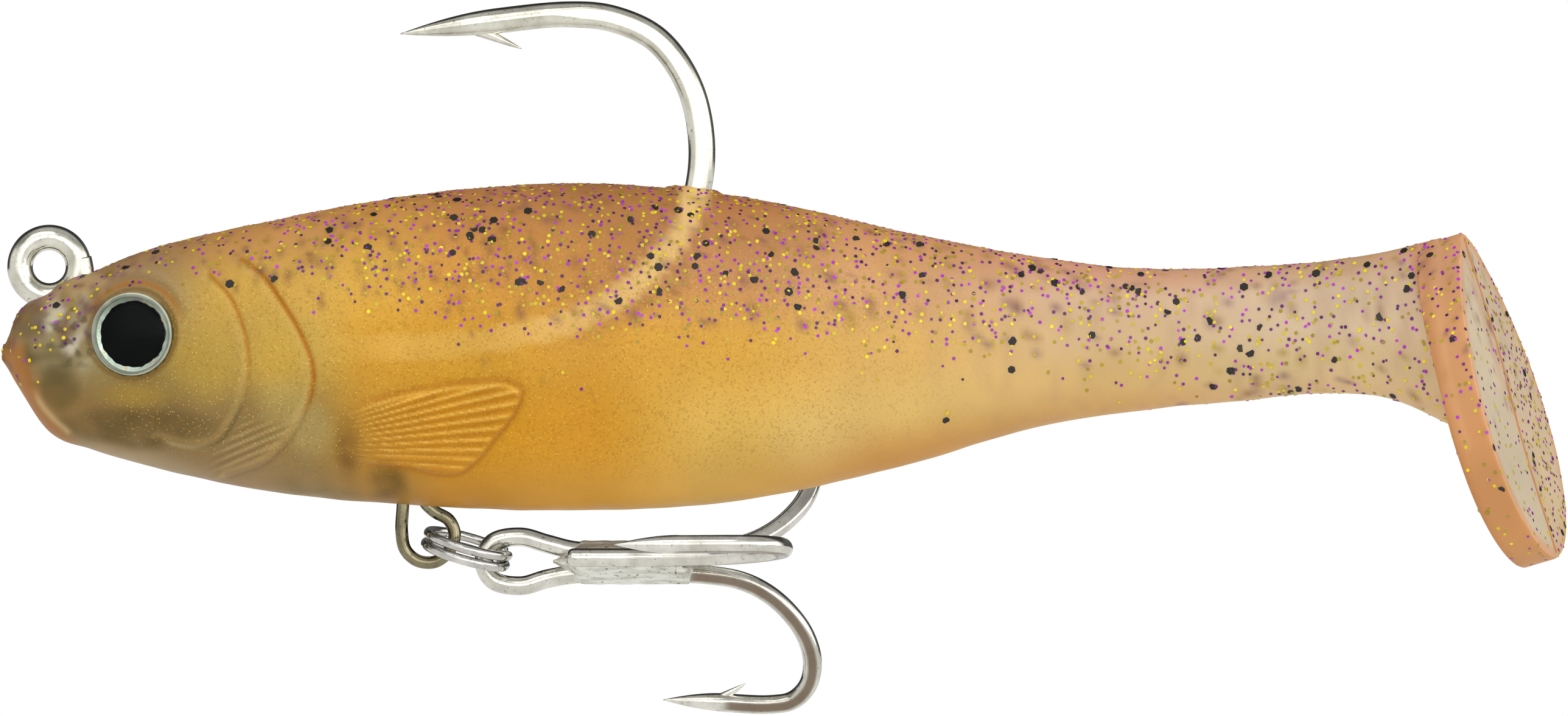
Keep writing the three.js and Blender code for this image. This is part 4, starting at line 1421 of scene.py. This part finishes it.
def build_split_ring(material):
    """Two turns of flattened wire side by side, with a step where the wire crosses over."""
    along = np.array((math.cos(RING_SLOPE), 0, -math.sin(RING_SLOPE)))
    upward = np.array((math.sin(RING_SLOPE), 0, math.cos(RING_SLOPE)))
    across = math.cos(RING_ROLL) * np.array((0, 1, 0)) + math.sin(RING_ROLL) * upward
    upward = math.cos(RING_ROLL) * upward - math.sin(RING_ROLL) * np.array((0, 1, 0))
    turns, steps = 2.0, 220
    path = []
    for i in range(steps + 1):
        share = i / steps
        a = 2 * math.pi * turns * share + 0.5
        crossing = smoothstep(share, 0.44, 0.56)
        lift = 0.46 - 0.92 * float(crossing)
        around = math.cos(a) * along + math.sin(a) * across
        path.append(RING_CENTRE + RING_RADIUS * around + lift * upward)
    wire = sweep(np.array(path), RING_WIRE / 2, 0.42, side=upward, sides=24, flat=0.9)
    obj = joined("split_ring_visual", [wire])
    face_outwards(obj)
    dress(obj, material)
    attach(obj, "ring")
    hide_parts("split_ring")


TREBLE_FRONT_X = 35.69
TREBLE_Z = -24.204
TREBLE_BACK_X = 62.69
TREBLE_GAPE = 12.6
TREBLE_EYE_HALF = 2.05
BUNDLE_RADIUS = 1.12
SHANK_START_X = 43.29
LOW_ROLL, SINGLE_ROLL, HIGH_ROLL = -111, 6.5, 129
SINGLE_BACK_X = 60.29
SINGLE_RISE = 0.2
TREBLE_BEND = [
    (5.9, 0.135), (3.7, 0.225), (1.9, 0.36), (0.6, 0.52), (0, 0.7), (0.35, 0.87), (1.6, 0.98), (3.4, 1.01),
    (8.7, 0.99),
]


def rolled(x, r, roll, rise=0.0):
    a = math.radians(roll)
    return (x, -r * math.cos(a), TREBLE_Z + rise + r * math.sin(a))


def strand(roll, back_x, point, rise=0.0):
    """One hook of the treble, from the bundle to its point."""
    end_x = back_x - 9.5
    front_x = SHANK_START_X - (0.9 if roll == SINGLE_ROLL else 0)
    xs = (front_x, (SHANK_START_X + end_x) / 2, end_x)
    points = [rolled(x, BUNDLE_RADIUS, roll, rise) for x in xs]
    points += [rolled(back_x - ahead, share * TREBLE_GAPE, roll, rise) for ahead, share in TREBLE_BEND]
    tip = (back_x - TREBLE_BEND[-1][0] - point, TREBLE_GAPE * TREBLE_BEND[-1][1] - 0.15)
    points.append(rolled(*tip, roll, rise))
    return points


def treble_barb(roll, back_x, rise=0.0):
    x = back_x - TREBLE_BEND[-1][0]
    r = TREBLE_BEND[-1][1] * TREBLE_GAPE
    a = math.radians(roll)
    side = (0, math.sin(a), math.cos(a))
    base = rolled(x + 1.3, r - 0.4, roll, rise)
    return barb(base, rolled(x + 3.2, r - 1.6, roll, rise), 0.36, side)


def treble_wire(points, both_ends):
    """A treble's wire, ground to a point at its end, or at both ends, and forged flat in its bends."""
    path = through(points, 0.22)
    radius = pointed(path, TREBLE_WIRE, 5.4)
    length = lengths_along(path)[-1]
    pressed = forged(path, length - 29.5, length - 4.5, 1.2)
    if both_ends:
        radius = np.minimum(radius, pointed(path[::-1], TREBLE_WIRE, 5.4)[::-1])
        pressed = np.maximum(pressed, forged(path, 4.5, 29.5, 1.2))
    return path, radius, pressed


def build_treble(material, solder):
    low = strand(LOW_ROLL, TREBLE_BACK_X, 3.6)
    high = strand(HIGH_ROLL, TREBLE_BACK_X, 3.6)
    side = (low[0][1] + high[0][1]) / 2
    loop = [(5.2, -0.7), (3, -0.98), (0.75, -0.75), (0, 0), (0.75, 0.75), (3, 0.98), (5.2, 0.7)]
    eye = [(TREBLE_FRONT_X + x, side, TREBLE_Z + z * TREBLE_EYE_HALF) for x, z in loop]
    path, radius, pressed = treble_wire(low[::-1] + eye + high, True)
    low_plane = (0, math.sin(math.radians(LOW_ROLL)), math.cos(math.radians(LOW_ROLL)))
    double = sweep(path, radius, radius, side=low_plane, sides=40, flat=1 - 0.1 * pressed)
    parts = [double, treble_barb(LOW_ROLL, TREBLE_BACK_X), treble_barb(HIGH_ROLL, TREBLE_BACK_X)]
    obj = joined("treble_double_visual", parts)
    fading = 1 - 0.7 * (np.arange(len(path)) > len(path) / 2)
    mark_flats(obj, flat_marks(pressed * fading, 40))
    dress_treble(obj, material, "treble_double_hook")
    path, radius, pressed = treble_wire(strand(SINGLE_ROLL, SINGLE_BACK_X, 5.0, SINGLE_RISE), False)
    start = np.clip(lengths_along(path) / 0.7, 0.02, 1)
    radius = radius * np.sqrt(1 - (1 - start) ** 2)
    single = sweep(path, radius, radius, side=(0, 0, 1), sides=40, flat=1 - 0.1 * pressed)
    parts = [single, treble_barb(SINGLE_ROLL, SINGLE_BACK_X, SINGLE_RISE)]
    obj = joined("treble_single_visual", parts)
    mark_flats(obj, flat_marks(pressed, 40))
    dress_treble(obj, material, "treble_single_hook")
    dress_treble(braze_object(), solder, "treble_braze")


def dress_treble(obj, material, node):
    face_outwards(obj)
    dress(obj, material)
    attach(obj, "treble")
    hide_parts(node)


def over_wire(angle, roll):
    """How far out the surface of a wire of the bundle is, in a direction from the bundle's middle."""
    across = BUNDLE_RADIUS * math.sin(angle - roll)
    wire = TREBLE_WIRE / 2
    if abs(across) >= wire or math.cos(angle - roll) < 0:
        return 0.0
    return BUNDLE_RADIUS * math.cos(angle - roll) + math.sqrt(wire * wire - across * across)


def braze_object():
    """Solder between the wires and over the two outer shanks, slanted at its rear."""
    front, back = SHANK_START_X - 1.9, SINGLE_BACK_X - 8.3
    sides, rings = 96, 90
    points = []
    rolls = [math.radians(r) for r in (LOW_ROLL, SINGLE_ROLL, HIGH_ROLL)]
    for i in range(rings + 1):
        share = i / rings
        swell = 0.05 + 0.95 * float(smoothstep(share * (back - front), -0.2, 2.6))
        swell *= min(1.0, 0.35 + 0.65 * math.sqrt(min((1 - share) * rings / 3, 1.0)))
        for j in range(sides):
            a = 2 * math.pi * j / sides
            near = max(math.cos(a - r) for r in rolls)
            radius = max(1.28 + 0.16 * near, over_wire(a, rolls[0]) + 0.07, over_wire(a, rolls[2]) + 0.07)
            radius *= swell
            slant = 1.1 * math.sin(a) * share ** 6
            lumps = 0.05 * noise.noise(Vector((share * 14, math.cos(a) * 2, math.sin(a) * 2)))
            x = front + (back - front) * share - slant
            points.append((x, -(radius + lumps) * math.cos(a), TREBLE_Z + (radius + lumps) * math.sin(a)))
    return joined("treble_braze_visual", [(points, tube_faces(rings + 1, sides))])


# ---- camera, light and floor ----

VIEW_CENTRE = Vector((0.06035, 0, -0.0075))
VIEW_DISTANCE = 0.9
VIEW_WIDTH = 0.1288
FLOOR_Z = -0.3


def build_camera():
    camera = bpy.data.objects.new("camera", bpy.data.cameras.new("camera"))
    bpy.context.scene.collection.objects.link(camera)
    camera.location = VIEW_CENTRE + Vector((0, -VIEW_DISTANCE, 0))
    camera.rotation_euler = (math.pi / 2, 0, 0)
    camera.data.sensor_width = 36
    camera.data.lens = 36 * VIEW_DISTANCE / VIEW_WIDTH
    bpy.context.scene.camera = camera


def spread(tree, value, start, end, low, high):
    """A smooth step from low to high as value goes from start to end."""
    made = tree.nodes.new("ShaderNodeMapRange")
    made.interpolation_type = "SMOOTHSTEP"
    tree.links.new(value, made.inputs["Value"])
    for key, number in (("From Min", start), ("From Max", end), ("To Min", low), ("To Max", high)):
        made.inputs[key].default_value = number
    return made.outputs[0]


def background(tree, levels):
    """A white background as strong as the product of its levels."""
    made = tree.nodes.new("ShaderNodeBackground")
    made.inputs["Color"].default_value = (1, 1, 1, 1)
    level = levels[0] if levels else None
    for other in levels[1:]:
        product = tree.nodes.new("ShaderNodeMath")
        product.operation = "MULTIPLY"
        tree.links.new(level, product.inputs[0])
        tree.links.new(other, product.inputs[1])
        level = product.outputs[0]
    if levels:
        tree.links.new(level, made.inputs["Strength"])
    return made.outputs[0]


def build_world():
    """White to the camera, soft light from the front and above, and a darker room to mirror."""
    world = bpy.data.worlds.new("studio")
    bpy.context.scene.world = world
    world.use_nodes = True
    tree = world.node_tree
    tree.nodes.clear()
    place = tree.nodes.new("ShaderNodeTexCoord").outputs["Generated"]
    parts = tree.nodes.new("ShaderNodeSeparateXYZ")
    tree.links.new(place, parts.inputs[0])
    depth, height = parts.outputs["Y"], parts.outputs["Z"]
    clutter = tree.nodes.new("ShaderNodeTexNoise")
    clutter.inputs["Scale"].default_value = 1.7
    tree.links.new(place, clutter.inputs["Vector"])
    soft = background(tree, [
        spread(tree, depth, 0.72, 0.3, 0.16, 1.0),
        spread(tree, height, -0.9, 0.9, 0.97, 1.05),
    ])
    band = tree.nodes.new("ShaderNodeMath")
    band.operation = "ABSOLUTE"
    tree.links.new(height, band.inputs[0])
    mirrored = background(tree, [
        spread(tree, depth, 0.45, 0.0, 0.06, 1.0),
        spread(tree, band.outputs[0], 0.6, 0.28, 0.5, 1.9),
        spread(tree, parts.outputs["X"], -0.75, -0.15, 0.5, 1.0),
        spread(tree, height, -0.9, 0.9, 0.85, 1.15),
        spread(tree, clutter.outputs["Fac"], 0.4, 0.6, 0.82, 1.1),
    ])
    ray = tree.nodes.new("ShaderNodeLightPath")
    seen = soft
    for kind, other in (("Is Glossy Ray", mirrored), ("Is Camera Ray", background(tree, []))):
        mix = tree.nodes.new("ShaderNodeMixShader")
        tree.links.new(ray.outputs[kind], mix.inputs[0])
        tree.links.new(seen, mix.inputs[1])
        tree.links.new(other, mix.inputs[2])
        seen = mix.outputs[0]
    tree.links.new(seen, tree.nodes.new("ShaderNodeOutputWorld").inputs[0])


def softbox(name, place, size, watts):
    lamp = bpy.data.lights.new(name, "AREA")
    lamp.shape = "RECTANGLE"
    lamp.size, lamp.size_y = size
    lamp.energy = watts
    obj = bpy.data.objects.new(name, lamp)
    bpy.context.scene.collection.objects.link(obj)
    obj.location = place
    obj.rotation_euler = (VIEW_CENTRE - obj.location).to_track_quat("-Z", "Y").to_euler()


def build_stage():
    side = 6 / MM
    z = FLOOR_Z / MM
    corners = [(-side, -side, z), (side, -side, z), (side, side, z), (-side, side, z)]
    floor = mesh_object("floor", corners, [(0, 1, 2, 3)])
    dress(floor, floor_material())
    softbox("key", Vector((-0.25, -0.75, 0.75)), (0.7, 0.45), 1.2)
    softbox("fill", Vector((0.7, -0.8, 0.1)), (0.5, 0.7), 0.6)
    bpy.context.scene.view_settings.view_transform = "Standard"


def main():
    build_camera()
    build_world()
    build_stage()
    skin = build_skin()
    build_glitter(skin)
    build_parting_line()
    eye_materials = {
        "foil": foil_material(), "pupil": pupil_material(), "dome": dome_material(), "rim": rim_material(),
    }
    for side in (LEFT, RIGHT):
        build_eye(side, eye_materials)
    tinned = metal_material("tinned_wire", (232, 230, 216), (120, 114, 88), 0.14, flats=(226, 222, 204))
    build_jig_hook(tinned)
    filmed = metal_material("treble_wire", (232, 230, 220), (124, 118, 98), 0.14, flats=(112, 90, 68))
    build_treble(filmed, braze_material())
    build_split_ring(metal_material("ring_steel", (220, 218, 212), (84, 80, 70), 0.12, 0.7))
    build_hanger(metal_material("tarnished_wire", (146, 138, 110), (50, 42, 24), 0.14, 0.8))
    dress(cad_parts["head_weight"], lead_material())


main()
